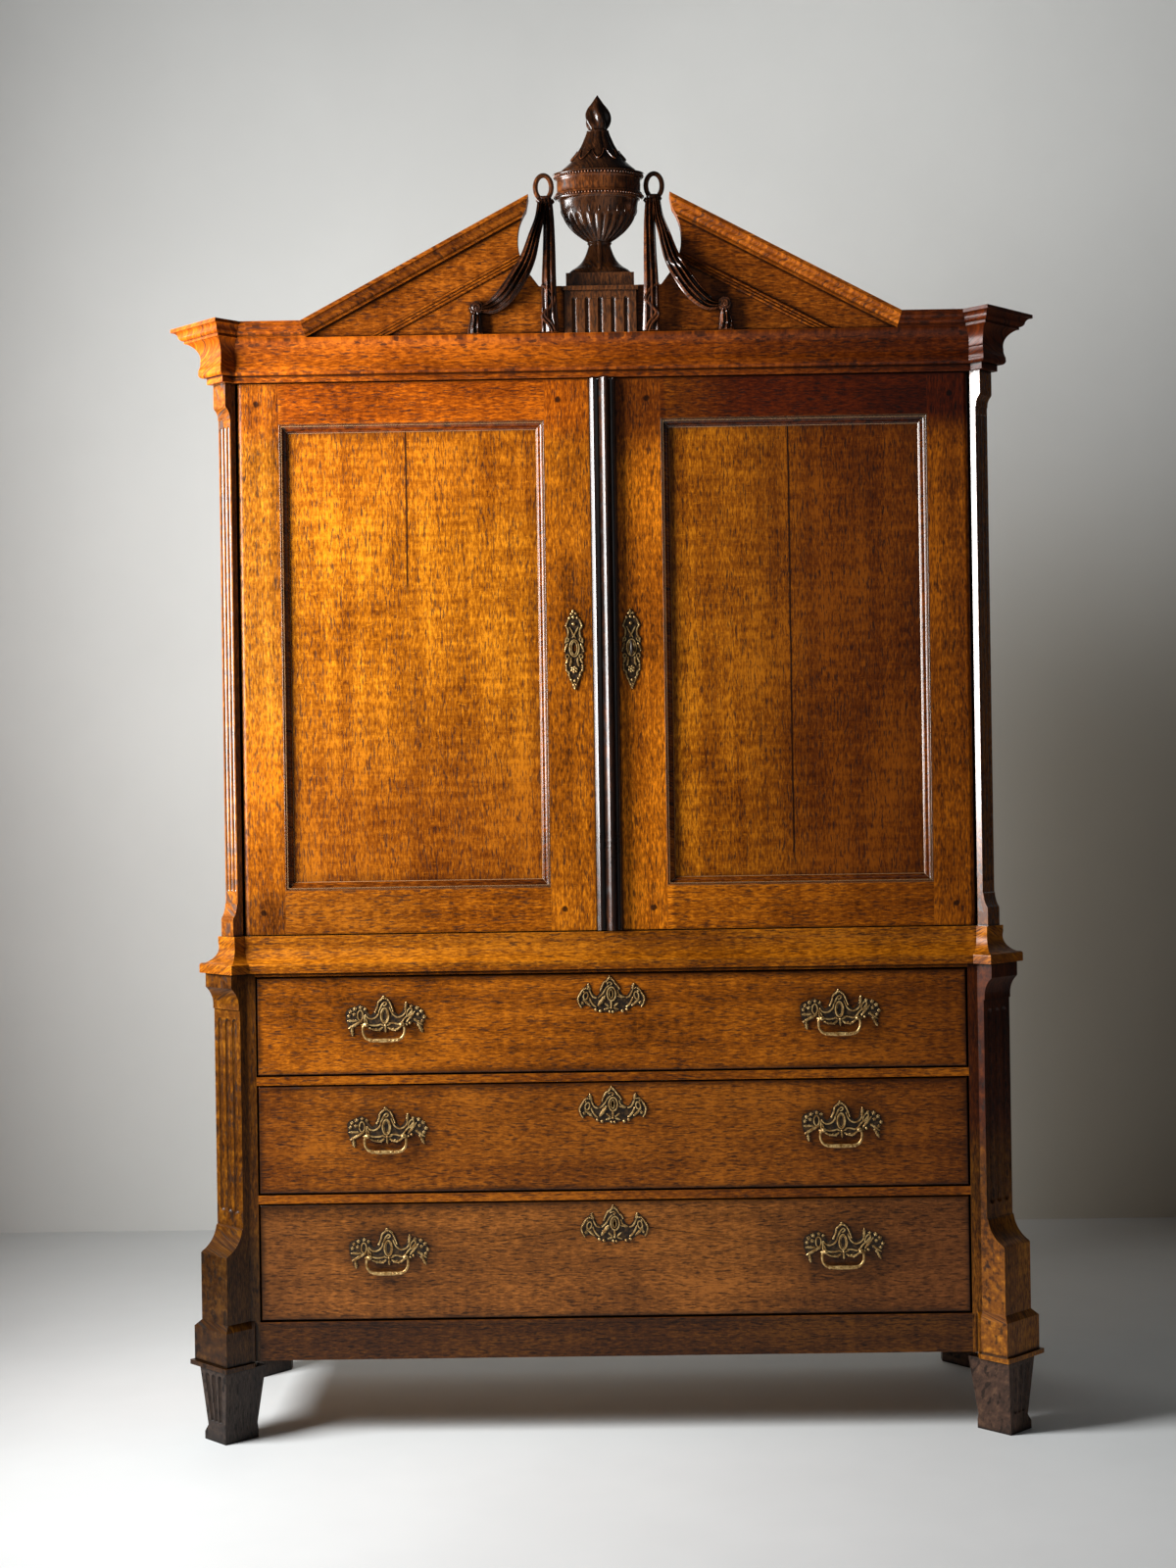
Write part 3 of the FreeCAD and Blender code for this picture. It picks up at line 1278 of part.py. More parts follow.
def handle_plate(centre, z):
    """Openwork plate: a middle lobe and a cluster at each end, joined by a bar."""
    half_w, half_h = plate_half_width, plate_half_height
    v0 = base_front
    v1 = base_front + plate_thickness
    middle = ellipse(centre, z + half_h * 0.3, half_w * 0.24, half_h * 0.7, v0, v1)
    ends = [ellipse(centre + side * half_w * 0.72, z + half_h * 0.1, half_w * 0.28, half_h * 0.62, v0, v1)
            for side in (-1, 1)]
    drops = [ellipse(centre + side * half_w * 0.88, z - half_h * 0.5, half_w * 0.12, half_h * 0.42, v0, v1)
             for side in (-1, 1)]
    bars = [block(centre - half_w * 0.7, centre + half_w * 0.7, v0, v1, z - half_h * 0.55, z - half_h * 0.22),
            block(centre - half_w * 0.6, centre + half_w * 0.6, v0, v1, z - half_h * 0.1, z + half_h * 0.04)]
    bores = [cylinder(post_radius, world((centre + side, v0 - 1), z - post_drop),
                      world((centre + side, v1 + 1), z - post_drop))
             for side in (-post_half_span, post_half_span)]
    return cut(joined(middle, ends + drops + bars), bores)


def drawer_keyplate(z):
    """Plate round a drawer's keyhole, like a handle plate without its ends."""
    half_w, half_h = drawer_plate_half
    v0 = base_front
    v1 = base_front + plate_thickness
    middle = ellipse(0, z, half_w * 0.36, half_h * 0.92, v0, v1)
    ends = [ellipse(side * half_w * 0.66, z, half_w * 0.34, half_h * 0.55, v0, v1) for side in (-1, 1)]
    return cut(joined(middle, ends), [keyhole(0, z, v0 - 1, v1 + 1)])


def bail(centre, z):
    """Hanging handle: a bowed wire, thicker in the middle, with an eye at each end."""
    v = base_front + post_out
    reach = post_half_span + bail_offset
    low = z - bail_drop
    corner = bail_corner
    pieces = []
    holes = []
    for side in (-1, 1):
        x = centre + side * reach
        bend_centre = world((x - side * corner, v), low + corner)
        section = Part.Face(Part.Wire([Part.makeCircle(bail_wire, world((x, v), low + corner), UP)]))
        pieces.append(section.revolve(bend_centre, V(0, side, 0), 90))
        pieces.append(cylinder(bail_wire, world((x, v), low + corner), world((x, v), z)))
        half = bail_eye_thickness / 2
        pieces.append(cylinder(bail_eye, world((x - half, v), z), world((x + half, v), z)))
        holes.append(cylinder(pin_radius + running, world((x - bail_eye, v), z), world((x + bail_eye, v), z)))
    belly = revolved_belly(centre, v, low, reach - corner)
    return cut(joined(belly, pieces), holes)


def revolved_belly(centre, v, z, half):
    """Swelling in the middle of a bail, turned about its own line."""
    start = world((centre - half, v), z)
    face = placed(outline_face([(0, 0), (2 * half, 0), (2 * half, bail_wire), (half, bail_belly, -0.03),
                                (0, bail_wire, -0.03)]), start, V(1, 0, 0), UP)
    return face.revolve(start, V(1, 0, 0), 360)


# ---------------------------------------------------------------- the whole press
def main():
    os.makedirs("parts", exist_ok=True)
    base_case()
    waist()
    for rank, name in enumerate(("top", "middle", "bottom")):
        drawer(name, rank)
    upper_case()
    doors()
    right_lock()
    cornice()
    pediment()


main()
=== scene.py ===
"""Looks of the oak linen press: its camera, studio, woods and metals, and the carved and cast pieces."""
import math
from functools import partialmethod

import bmesh
import bpy
from mathutils import Matrix, Vector, geometry, noise


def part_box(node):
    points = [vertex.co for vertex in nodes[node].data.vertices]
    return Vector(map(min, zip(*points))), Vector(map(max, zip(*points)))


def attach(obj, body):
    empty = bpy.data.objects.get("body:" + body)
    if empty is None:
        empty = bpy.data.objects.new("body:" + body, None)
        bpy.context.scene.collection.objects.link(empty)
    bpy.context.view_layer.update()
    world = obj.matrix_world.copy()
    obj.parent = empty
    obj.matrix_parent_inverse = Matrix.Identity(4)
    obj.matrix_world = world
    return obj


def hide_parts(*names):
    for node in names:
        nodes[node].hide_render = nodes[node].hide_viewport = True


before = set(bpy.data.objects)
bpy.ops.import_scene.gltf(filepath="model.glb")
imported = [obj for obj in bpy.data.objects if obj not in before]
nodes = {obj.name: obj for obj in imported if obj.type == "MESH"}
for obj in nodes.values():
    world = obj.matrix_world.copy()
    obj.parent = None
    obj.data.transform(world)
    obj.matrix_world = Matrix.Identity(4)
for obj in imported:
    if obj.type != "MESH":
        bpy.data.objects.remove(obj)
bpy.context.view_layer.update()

MM = 0.001
MASK_EDGE = 0.2 * MM             # half the width of a mask's soft edge
PANEL_LAP = 9 * MM               # tongues of a door panel, hidden in the frame
INNER_PEG = 27 * MM              # from the mouldings to the dark pegs of a meeting stile
OUTER_PEG = 44 * MM              # and of an outer stile
EDGE_ROUNDING = 1.2 * MM
WELD = 0.01 * MM                 # vertices nearer than this are joined
PLATE_THICKNESS = 2 * MM
PLATE_CENTRE_OVER_PIVOT = 16 * MM
PIVOT_UNDER_TOP = 5.2 * MM       # from the top of a bail's eyes to its pivot
HANDLE_LEAST_X = 0.1             # plates nearer to the middle are keyhole plates


def low(node):
    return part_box(node)[0]


def high(node):
    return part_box(node)[1]


def turns(count):
    """Angles of even steps round a circle."""
    return [2 * math.pi * step / count for step in range(count)]


def add_object(name, data):
    made = bpy.data.objects.new(name, data)
    bpy.context.scene.collection.objects.link(made)
    return made


# ---------------------------------------------------------------- camera
CAMERA_PLACE = (0.0, -4.5, 1.278)
CAMERA_TURN = 0.52               # degrees about the vertical
CAMERA_ROLL = -0.88              # degrees about the line of sight
FOCAL_PIXELS = 2219              # in an image 1600 pixels high
IMAGE_HEIGHT = 1600
SENSOR = 36.0


def rotation(degrees, axis):
    return Matrix.Rotation(math.radians(degrees), 4, axis)


def make_camera():
    data = bpy.data.cameras.new("camera")
    data.sensor_width = SENSOR
    data.lens = FOCAL_PIXELS / IMAGE_HEIGHT * SENSOR
    data.clip_end = 50
    camera = add_object("camera", data)
    turn = rotation(CAMERA_TURN, "Z") @ rotation(90, "X")
    camera.matrix_world = Matrix.Translation(CAMERA_PLACE) @ turn @ rotation(CAMERA_ROLL, "Z")
    bpy.context.scene.camera = camera


# ---------------------------------------------------------------- materials
class Shader:
    """A material's node tree, built by short calls that return output sockets."""

    def __init__(self, name):
        self.material = bpy.data.materials.new(name)
        self.material.use_nodes = True
        self.tree = self.material.node_tree
        self.tree.nodes.clear()
        self.output = self.tree.nodes.new("ShaderNodeOutputMaterial")
        self.surface = self.tree.nodes.new("ShaderNodeBsdfPrincipled")
        self.put(self.output.inputs[0], self.surface.outputs[0])
        self.place = self.node("TexCoord", output="Object")

    def put(self, socket, value):
        """Gives an input a link or a value."""
        if isinstance(value, bpy.types.NodeSocket):
            self.tree.links.new(value, socket)
        else:
            socket.default_value = value

    def node(self, kind, inputs=(), output=0, **settings):
        made = self.tree.nodes.new("ShaderNode" + kind)
        for key, value in settings.items():
            setattr(made, key, value)
        for key, value in dict(inputs).items():
            self.put(made.inputs[key], value)
        return made.outputs[output]

    def compute(self, operation, first, second=0.0, third=0.0):
        return self.node("Math", {0: first, 1: second, 2: third}, operation=operation)

    plus = partialmethod(compute, "ADD")
    minus = partialmethod(compute, "SUBTRACT")
    times = partialmethod(compute, "MULTIPLY")
    times_plus = partialmethod(compute, "MULTIPLY_ADD")
    size = partialmethod(compute, "ABSOLUTE")
    least = partialmethod(compute, "MINIMUM")
    most = partialmethod(compute, "MAXIMUM")

    def apart(self, value, centre):
        return self.size(self.minus(value, centre))

    def distance(self, across, rise):
        squares = self.plus(self.times(across, across), self.times(rise, rise))
        return self.compute("SQRT", squares)

    def mapped(self, scale, shift):
        return self.node("Mapping", {"Vector": self.place, "Scale": (scale,) * 3, "Location": shift})

    def noise(self, vector, scale=1.0, detail=3.0, roughness=0.55):
        return self.node("TexNoise", {"Vector": vector, "Scale": scale, "Detail": detail,
                                      "Roughness": roughness})

    def ramp(self, value, low_in, high_in, low_out=0.0, high_out=1.0):
        return self.node("MapRange", {"Value": value, "From Min": low_in, "From Max": high_in,
                                      "To Min": low_out, "To Max": high_out},
                         interpolation_type="SMOOTHSTEP", clamp=True)

    def blend(self, share, first, second):
        """Mix of two numbers."""
        return self.node("Mix", {0: share, 2: first, 3: second}, data_type="FLOAT")

    def mix(self, share, first, second, blend="MIX"):
        """Mix of two colours."""
        return self.node("Mix", {0: share, 6: first, 7: second}, 2, data_type="RGBA", blend_type=blend)

    def tinted(self, color, factor, share=1.0):
        """The colour times a factor, as far as the share goes."""
        return self.mix(share, color, (*factor, 1), "MULTIPLY")

    def split(self, vector):
        return self.node("SeparateXYZ", {0: vector}).node.outputs

    def xyz(self):
        return self.split(self.place)

    def join(self, x, y, z):
        return self.node("CombineXYZ", {0: x, 1: y, 2: z})

    def clear_from_behind(self):
        """Lets views from behind a wall see the press."""
        side = self.node("NewGeometry", output="Backfacing")
        front, clear = self.surface.outputs[0], self.node("BsdfTransparent")
        self.put(self.output.inputs[0], self.node("MixShader", {0: side, 1: front, 2: clear}))

    def finish(self, color, roughness, relief=None, **inputs):
        """The material; relief is a height, its strength and its distance."""
        if relief is not None:
            height, strength, distance = relief
            inputs["Normal"] = self.node("Bump", {"Strength": strength, "Distance": distance,
                                                  "Height": height})
        for name, value in {"Base_Color": color, "Roughness": roughness, **inputs}.items():
            self.put(self.surface.inputs[name.replace("_", " ")], value)
        return self.material


def linear(*rgb):
    """Colour for a socket from sRGB values out of 255."""
    def channel(value):
        value /= 255
        return value / 12.92 if value <= 0.04045 else ((value + 0.055) / 1.055) ** 2.4
    return (*[channel(value) for value in rgb], 1.0)


def darker(color, share):
    return (*[channel * share for channel in color[:3]], 1)


def crevices(shader, distance):
    """Low in inner corners and round raised pieces, 1 on open faces."""
    return shader.node("AmbientOcclusion", {"Distance": distance}, output=1, samples=8)


def worn_and_highlit_edge(shader, radius):
    """1 along the sharp edges, 0 on flat wood."""
    bevel = shader.node("Bevel", {"Radius": radius}, samples=6)
    normal = shader.node("NewGeometry", output="Normal")
    same = shader.node("VectorMath", {0: bevel, 1: normal}, output="Value", operation="DOT_PRODUCT")
    return shader.ramp(same, 0.995, 0.86)


# ---------------------------------------------------------------- wood
BLOTCH = 0.5                     # strength of the blotches


def grain_place(shader, axis, shift):
    """Coordinates with the grain along the last one: across, through, along."""
    x, y, z = shader.split(shader.mapped(1, shift))
    return (x, y, z) if axis == "z" else (z, y, x)


def oak_layers(shader, axis, shift, rail_mask):
    """Noises that follow the grain; where the mask is 1, the grain runs along x."""
    across, through, along = grain_place(shader, axis, shift)
    if rail_mask is not None:
        mask = rail_mask(shader)
        rail_across, _, rail_along = grain_place(shader, "x", shift)
        across = shader.blend(mask, across, rail_across)
        along = shader.blend(mask, along, rail_along)
    spread = shader.plus(across, shader.times(through, 0.7))

    def layer(line, across_scale, along_scale, detail, roughness, seed):
        place = shader.join(shader.times(line, across_scale), seed, shader.times(along, along_scale))
        return shader.noise(place, 1.0, detail, roughness)
    bend = shader.times_plus(layer(spread, 5.0, 1.3, 2.0, 0.55, 0.0), 0.035, spread)
    return {
        "growth": layer(bend, 30, 1.2, 3.0, 0.6, 0.0),
        "fibre": layer(bend, 230, 60, 3.0, 0.7, 3.1),
        "fine": layer(bend, 800, 60, 2.0, 0.6, 7.7),
        "pores": layer(bend, 330, 48, 2.0, 0.5, 5.3),
        "mottle": layer(bend, 9, 75, 3.0, 0.6, 9.9),
        "flecks": layer(bend, 60, 240, 3.0, 0.6, 12.4),
        "patches": layer(spread, 4.0, 3.0, 4.0, 0.6, 2.2),
    }


def oak(name, tones, axis="z", shift=(0, 0, 0), rail_mask=None, figure=0.5, stain=0.35, gloss=0.36, coat=0.06,
        specular=0.22, edge=0.35, tint=None, painted_light_and_tone_fades=(), rim=None, polish=None, grain=1.0):
    """Waxed oak from three tones: growth streaks, fibres, pores, ray flecks, blotches, stains, painted shade
    in corners and gaps, and worn edges that also carry a painted highlight.

    figure, stain, edge and grain are the strengths of the flecks, the stains, the worn and highlit edges and
    the relief. rim darkens edges, polish darkens the mouldings, makes them glossier and paints pale
    highlights on their edges. tint multiplies the colour; each fade does so in a region given by (axis,
    start, end) ramps, mostly as painted light and shade."""
    shader = Shader(name)
    mix, ramp, times, times_plus = shader.mix, shader.ramp, shader.times, shader.times_plus
    layers = oak_layers(shader, axis, shift, rail_mask)
    dark, mid, light = tones
    tone = times_plus(layers["growth"], 0.35, times(layers["fibre"], 0.7))
    tone = times_plus(layers["fine"], 0.25, tone)
    tone = shader.minus(times_plus(layers["mottle"], 0.3 * figure, tone), 0.15 * figure)
    tone = times_plus(layers["patches"], BLOTCH, shader.minus(tone, 0.5 * BLOTCH))
    color = mix(ramp(tone, 0.45, 0.63), dark, mid)
    color = mix(ramp(tone, 0.60, 0.84), color, light)
    color = mix(times(ramp(layers["flecks"], 0.60, 0.72), 0.45 * figure), color, light)
    pore = ramp(layers["pores"], 0.57, 0.66)
    color = mix(times(pore, 0.72), color, darker(dark, 0.2))

    soot_and_shade = darker(dark, 0.22)
    spots = ramp(shader.noise(shader.mapped(9, shift), 1.0, 6.0, 0.72), 0.55, 0.80)
    color = mix(times(spots, stain), color, soot_and_shade)
    # Painted shade: the colour darkens to the soot tone in corners, recesses and gaps, found by ambient
    # occlusion.
    color = mix(times(ramp(crevices(shader, 0.03), 0.85, 0.35), 0.8), color, soot_and_shade)
    color = mix(times(ramp(crevices(shader, 0.007), 0.95, 0.6), 0.96), color, soot_and_shade)
    if rim is not None:
        color = mix(rim(shader), color, soot_and_shade)
    # Lighter sharp edges: wear, and a painted highlight where the edges catch the light.
    color = mix(times(worn_and_highlit_edge(shader, 0.0022), edge), color, light)

    if tint is not None:
        color = shader.tinted(color, tint)
    # Painted light and shade, mostly: each fade darkens or lightens the colour in a region where the light on
    # the press falls off or gathers.
    places = shader.xyz()
    for *ramps, factor in painted_light_and_tone_fades:
        region = 1.0
        for way, start, end in ramps:
            spot = places["xyz".index(way)]
            share = ramp(spot, start, end) if start < end else ramp(spot, end, start, 1.0, 0.0)
            region = times(region, share)
        color = shader.tinted(color, factor, region)

    rough = times_plus(pore, 0.2, times_plus(layers["patches"], 0.16, gloss - 0.08))
    if polish is not None:
        bare = polish(shader)
        # The mouldings are darker and glossier, and a pale colour along their sharp edges is a painted
        # highlight.
        color = shader.tinted(color, (0.42, 0.35, 0.38), bare)
        moulding_highlight = times(bare, worn_and_highlit_edge(shader, 0.0016))
        color = mix(times(moulding_highlight, 0.7), color, linear(205, 165, 120))
        rough = shader.blend(bare, rough, 0.2)
        coat = times_plus(bare, 0.6, coat)
    height = times_plus(layers["patches"], 1.2, shader.minus(times(layers["fibre"], 0.5), pore))
    return shader.finish(color, rough, (height, 0.25 * grain, 0.0005), Coat_Roughness=0.22, Coat_Weight=coat,
                         Specular_IOR_Level=specular)


def between(shader, value, start, end):
    """1 between two limits, 0 beyond them."""
    over, beyond = (shader.ramp(value, limit - MASK_EDGE, limit + MASK_EDGE) for limit in (start, end))
    return shader.times(over, shader.minus(1.0, beyond))


def panel_opening():
    """The right door's opening for its panel: least and greatest x and z."""
    (x0, _, z0), (x1, _, z1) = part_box("right_door_panel")
    return x0 + PANEL_LAP, x1 - PANEL_LAP, z0 + PANEL_LAP, z1 - PANEL_LAP


def door_rails(shader):
    """1 on the top and bottom rails of the doors, 0 on the stiles."""
    x0, x1, *_ = panel_opening()
    return between(shader, shader.size(shader.xyz()[0]), x0, x1)


def panel_mouldings(shader):
    """1 on the mouldings round the door panels."""
    x0, x1, z0, z1 = panel_opening()
    x, _, z = shader.xyz()
    return shader.times(between(shader, shader.size(x), x0, x1), between(shader, z, z0, z1))


def panel_rim(node, reach=0.05, most=0.6, waver=0.07):
    """Darker near the edges of a panel or a drawer front."""
    lowest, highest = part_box(node)
    centre, half = (lowest + highest) / 2, (highest - lowest) / 2

    def rim(shader):
        x, _, z = shader.xyz()
        wobble = shader.times_plus(shader.noise(shader.place, 9.0, 4.0, 0.6), waver, -waver / 2)
        side = shader.minus(half.x, shader.apart(x, centre.x))
        rise = shader.minus(half.z, shader.apart(z, centre.z))
        near = shader.plus(shader.least(side, rise), wobble)
        return shader.ramp(near, reach, 0.0, 0.0, most)
    return rim


def panel_joint(node, place, lowest):
    """Dark edges of a panel, and a joint between two of its boards, down to a level where the joint dies
    away.
    """
    edges = panel_rim(node)

    def joint(shader):
        x, _, z = shader.xyz()
        drift = shader.times_plus(shader.noise(shader.place, 7.0, 2.0), 0.004, place - 0.002)
        line = shader.times(shader.ramp(shader.apart(x, drift), 0.0010, 0.0028, 0.95, 0.0),
                            shader.ramp(z, lowest, lowest + 0.05))
        return shader.most(edges(shader), line)
    return joint


def peg_marks(shader):
    """Dark pegs at the corners of the door frames."""
    x, _, z = shader.xyz()
    side = shader.size(x)
    x0, x1, z0, z1 = panel_opening()
    bottom, top = (z0 + low("right_door_frame").z) / 2, (z1 + high("right_door_frame").z) / 2
    nearest = None
    for peg_x in (x0 - INNER_PEG, x1 + OUTER_PEG):
        for peg_z in (bottom, top):
            reach = shader.distance(shader.minus(side, peg_x), shader.minus(z, peg_z))
            nearest = reach if nearest is None else shader.least(nearest, reach)
    uneven = shader.times_plus(shader.noise(shader.place, 90.0, 3.0, 0.6), 0.006, nearest)
    return shader.ramp(uneven, 0.007, 0.011, 0.9, 0.0)


def drawer_rim_and_halo(name):
    """Dark edges of a drawer front, and a dark halo round its handles."""
    edges = panel_rim(name + "_drawer_front", 0.016, 0.75, 0.02)
    bail = name + "_drawer_bail_left"
    handle_x = abs((low(bail).x + high(bail).x) / 2)

    def dark_rim_and_halo(shader):
        x, _, z = shader.xyz()
        across = shader.compute("DIVIDE", shader.minus(shader.size(x), handle_x), 0.1)
        rise = shader.compute("DIVIDE", shader.minus(z, handle_centre_z(name) - 0.008), 0.055)
        reach = shader.distance(across, rise)
        reach = shader.times_plus(shader.noise(shader.place, 14.0, 4.0, 0.6), 0.6, reach)
        return shader.most(edges(shader), shader.ramp(reach, 0.9, 1.5, 0.5, 0.0))
    return dark_rim_and_halo


FRAME = (linear(60, 24, 0), linear(114, 55, 2), linear(178, 98, 12))
PANEL = (linear(84, 38, 0), linear(140, 77, 2), linear(208, 130, 16))
DRAWER = (linear(60, 29, 2), linear(110, 58, 5), linear(166, 96, 18))
LOW_DRAWER = (linear(50, 29, 12), linear(88, 54, 24), linear(130, 84, 44))
DARK = (linear(20, 11, 6), linear(44, 24, 12), linear(86, 52, 28))
FOOT = (linear(32, 24, 20), linear(58, 42, 34), linear(88, 66, 52))
INNER = (linear(120, 84, 50), linear(160, 118, 74), linear(190, 150, 104))


def make_woods():
    """Every oak by name, with fade regions, mostly painted light and shade, that make its tones fit their
    places on the press.
    """
    inner_stile = (("x", 0.025, 0.03), ("x", 0.13, 0.12))
    right = ("x", 0.0, 0.1)
    dark = dict(tones=DARK, figure=0.1)
    polished = dict(dark, gloss=0.22, coat=0.45, specular=0.45, grain=0.4)
    inner = dict(tones=INNER, figure=0.3, gloss=0.6, coat=0.0, stain=0.2)
    looks = {
        "stile": dict(
            tones=FRAME, rail_mask=door_rails, shift=(0.3, 0.1, 0.2), tint=(1.6, 1.7, 1.3), rim=peg_marks,
            polish=panel_mouldings,
            # Painted light and shade on the door frames: darker to the right and along the top, most at the
            # top right; the meeting stiles lighter below and darker at the top; darker low on the left; a
            # pale painted sheen high on the far left stile.
            painted_light_and_tone_fades=((("x", 0.15, 0.7), (0.72, 0.66, 0.5)),
                   (("x", -0.1, 0.3), ("z", 1.93, 2.01), (0.2, 0.09, 0.06)),
                   (("x", 0.1, -0.1), ("z", 1.93, 2.01), (0.95, 0.72, 0.5)),
                   (*inner_stile, ("z", 2.0, 1.88), (1.5, 1.5, 1.6)),
                   (*inner_stile, ("z", 1.9, 2.0), (0.7, 0.6, 0.6)),
                   (("x", -0.13, -0.12), ("x", -0.02, -0.025), (1.15, 1.2, 1.3)),
                   (("x", -0.25, -0.45), ("z", 1.09, 1.05), (0.62, 0.62, 0.9)),
                   (("x", -0.62, -0.66), ("z", 1.3, 1.5), (1.1, 1.35, 3.2)))),
        "rail": dict(
            tones=FRAME, axis="x", figure=0.4, tint=(1.3, 1.5, 1.4),
            painted_light_and_tone_fades=((("z", 0.236, 0.222), (0.32, 0.36, 0.85)), (("z", 0.93, 0.91), (0.85, 0.76, 0.8)))),
        "cornice": dict(
            tones=FRAME, axis="x", figure=0.4, tint=(1.33, 1.12, 1.2), shift=(0.7, 0.2, 3.1),
            # Painted shade: the cornice darkens to the right.
            painted_light_and_tone_fades=((("x", -0.25, 0.75), (0.25, 0.18, 0.32)),)),
        "upright": dict(tones=FRAME, figure=0.4, shift=(1.3, 0.7, 0.5), tint=(1.2, 1.2, 1.2)),
        "post": dict(
            tones=FRAME, figure=0.3, shift=(2.3, 0.2, 1.5), tint=(0.5, 0.62, 0.85),
            # Painted light and shade on the posts: the left pedestal and the right shaft darker, the right
            # pedestal lighter.
            painted_light_and_tone_fades=((("x", 0.0, -0.1), ("z", 0.46, 0.34), (0.45, 0.5, 1.15)),
                   (right, ("z", 0.5, 0.62), (0.5, 0.28, 0.18)),
                   (right, ("z", 0.5, 0.36), (2.3, 2.4, 2.5)))),
        "raking": dict(tones=FRAME, axis="x", figure=0.6, shift=(0.3, 0.0, 1.9), tint=(1.2, 1.15, 2.2)),
        "left_panel": dict(
            tones=PANEL, figure=1.0, shift=(2.1, 0.4, 0.9), edge=0.2, tint=(1.35, 1.3, 1.7),
            rim=panel_joint("left_door_panel", -0.391, 1.64),
            # Painted shade: the left panel darker low down and a little darker at the top.
            painted_light_and_tone_fades=((("z", 1.58, 1.2), (0.6, 0.5, 0.45)), (("z", 1.75, 1.9), (0.9, 0.82, 0.9)))),
        "right_panel": dict(
            tones=PANEL, figure=1.0, shift=(3.7, 0.9, 2.3), edge=0.2, tint=(1.3, 1.2, 1.3),
            # Painted shade: the right panel darkens strongly to the right.
            rim=panel_joint("right_door_panel", 0.367, 1.1), painted_light_and_tone_fades=((("x", 0.1, 0.45), (0.3, 0.22, 0.16)),)),
        # Painted shade: each drawer front darkens to the right; the two lower ones are also darker at their
        # left ends.
        "top_drawer": dict(
            tones=DRAWER, axis="x", stain=0.6, shift=(0.0, 0.0, 4.0), rim=drawer_rim_and_halo("top"),
            tint=(1.55, 1.42, 0.85), painted_light_and_tone_fades=((("x", 0.25, 0.7), (0.5, 0.46, 0.5)),)),
        "middle_drawer": dict(
            tones=DRAWER, axis="x", stain=0.7, shift=(1.0, 0.0, 5.0), rim=drawer_rim_and_halo("middle"),
            tint=(1.12, 1.05, 1.1),
            painted_light_and_tone_fades=((("x", 0.3, 0.72), (0.65, 0.6, 0.6)), (("x", -0.55, -0.68), (0.7, 0.66, 0.7)))),
        "bottom_drawer": dict(
            tones=LOW_DRAWER, axis="x", stain=0.8, shift=(2.0, 0.0, 6.0), rim=drawer_rim_and_halo("bottom"),
            tint=(2.0, 1.65, 0.9),
            painted_light_and_tone_fades=((("x", 0.2, 0.7), (0.6, 0.58, 0.8)), (("x", -0.5, -0.7), (0.6, 0.6, 0.7)))),
        "dark": dict(dark, gloss=0.27, coat=0.35, specular=0.4, stain=0.5, edge=0.15, grain=0.5),
        "urn": dict(
            polished, stain=0.3, edge=0.7, tint=(1.2, 1.1, 1.0),
            painted_light_and_tone_fades=((("z", 2.436, 2.446), ("z", 2.492, 2.482), (2.2, 1.9, 1.4)),
                   (("z", 2.36, 2.34), (1.7, 1.6, 1.3)))),
        "strip": dict(
            dark, gloss=0.3, coat=0.9, specular=0.8, stain=0.2, tint=(1.2, 1.0, 0.85), shift=(0.2, 0.9, 2.7),
            grain=0.12, edge=0.6),
        "pilaster": dict(
            tones=FRAME, figure=0.3, shift=(1.8, 0.7, 1.5), gloss=0.24, coat=0.7, specular=0.6,
            # Painted shade: the right pilaster darker.
            tint=(0.95, 1.05, 2.4), edge=0.7, grain=0.4, painted_light_and_tone_fades=((right, (0.7, 0.7, 0.6)),)),
        # A much lighter copy of the dark oak: painted highlights on the urn's beads and leaf rims.
        "bead": dict(
            dark, gloss=0.25, coat=0.5, specular=0.5, stain=0.1, tint=(4.0, 3.2, 2.6), edge=0.3, grain=0.3),
        "drape": dict(polished, stain=0.4, tint=(1.9, 1.5, 1.3), edge=0.3),
        "foot": dict(
            # Painted light: the feet lighter on the right.
            tones=FOOT, figure=0.1, gloss=0.45, tint=(0.62, 0.68, 0.74), painted_light_and_tone_fades=((right, (2.4, 2.0, 1.65)),)),
        "inner": dict(inner, axis="x"),
        "inner_upright": inner,
    }
    return {wood: oak(wood + "_oak", **look) for wood, look in looks.items()}


# ---------------------------------------------------------------- metals
def brass():
    shader = Shader("handle_brass")
    cloud = shader.noise(shader.place, 140.0, 4.0, 0.6)
    color = shader.mix(shader.ramp(cloud, 0.35, 0.7), linear(158, 116, 62), linear(232, 196, 130))
    nook = shader.ramp(crevices(shader, 0.004), 0.95, 0.5)
    color = shader.mix(nook, color, linear(40, 26, 14))
    rough = shader.times_plus(cloud, 0.2, 0.2)
    return shader.finish(color, rough, (cloud, 0.25, 0.0003), Metallic=0.55)


def patina_and_shade_ground():
    """Dark ground between the raised ornaments of the brasses: darkened brass, and painted shade that fills
    the openings of the pierced plates.
    """
    shader = Shader("brass_patina_and_shade")
    cloud = shader.noise(shader.place, 160.0, 4.0, 0.6)
    color = shader.mix(shader.ramp(cloud, 0.4, 0.75), linear(30, 19, 9), linear(92, 66, 34))
    return shader.finish(color, 0.5, (cloud, 0.2, 0.0003), Metallic=0.3)


def iron():
    shader = Shader("lock_iron")
    cloud = shader.noise(shader.place, 120.0, 5.0, 0.65)
    color = shader.mix(cloud, linear(40, 36, 33), linear(92, 84, 76))
    return shader.finish(color, shader.times_plus(cloud, 0.3, 0.3), (cloud, 0.3, 0.0004), Metallic=0.8)


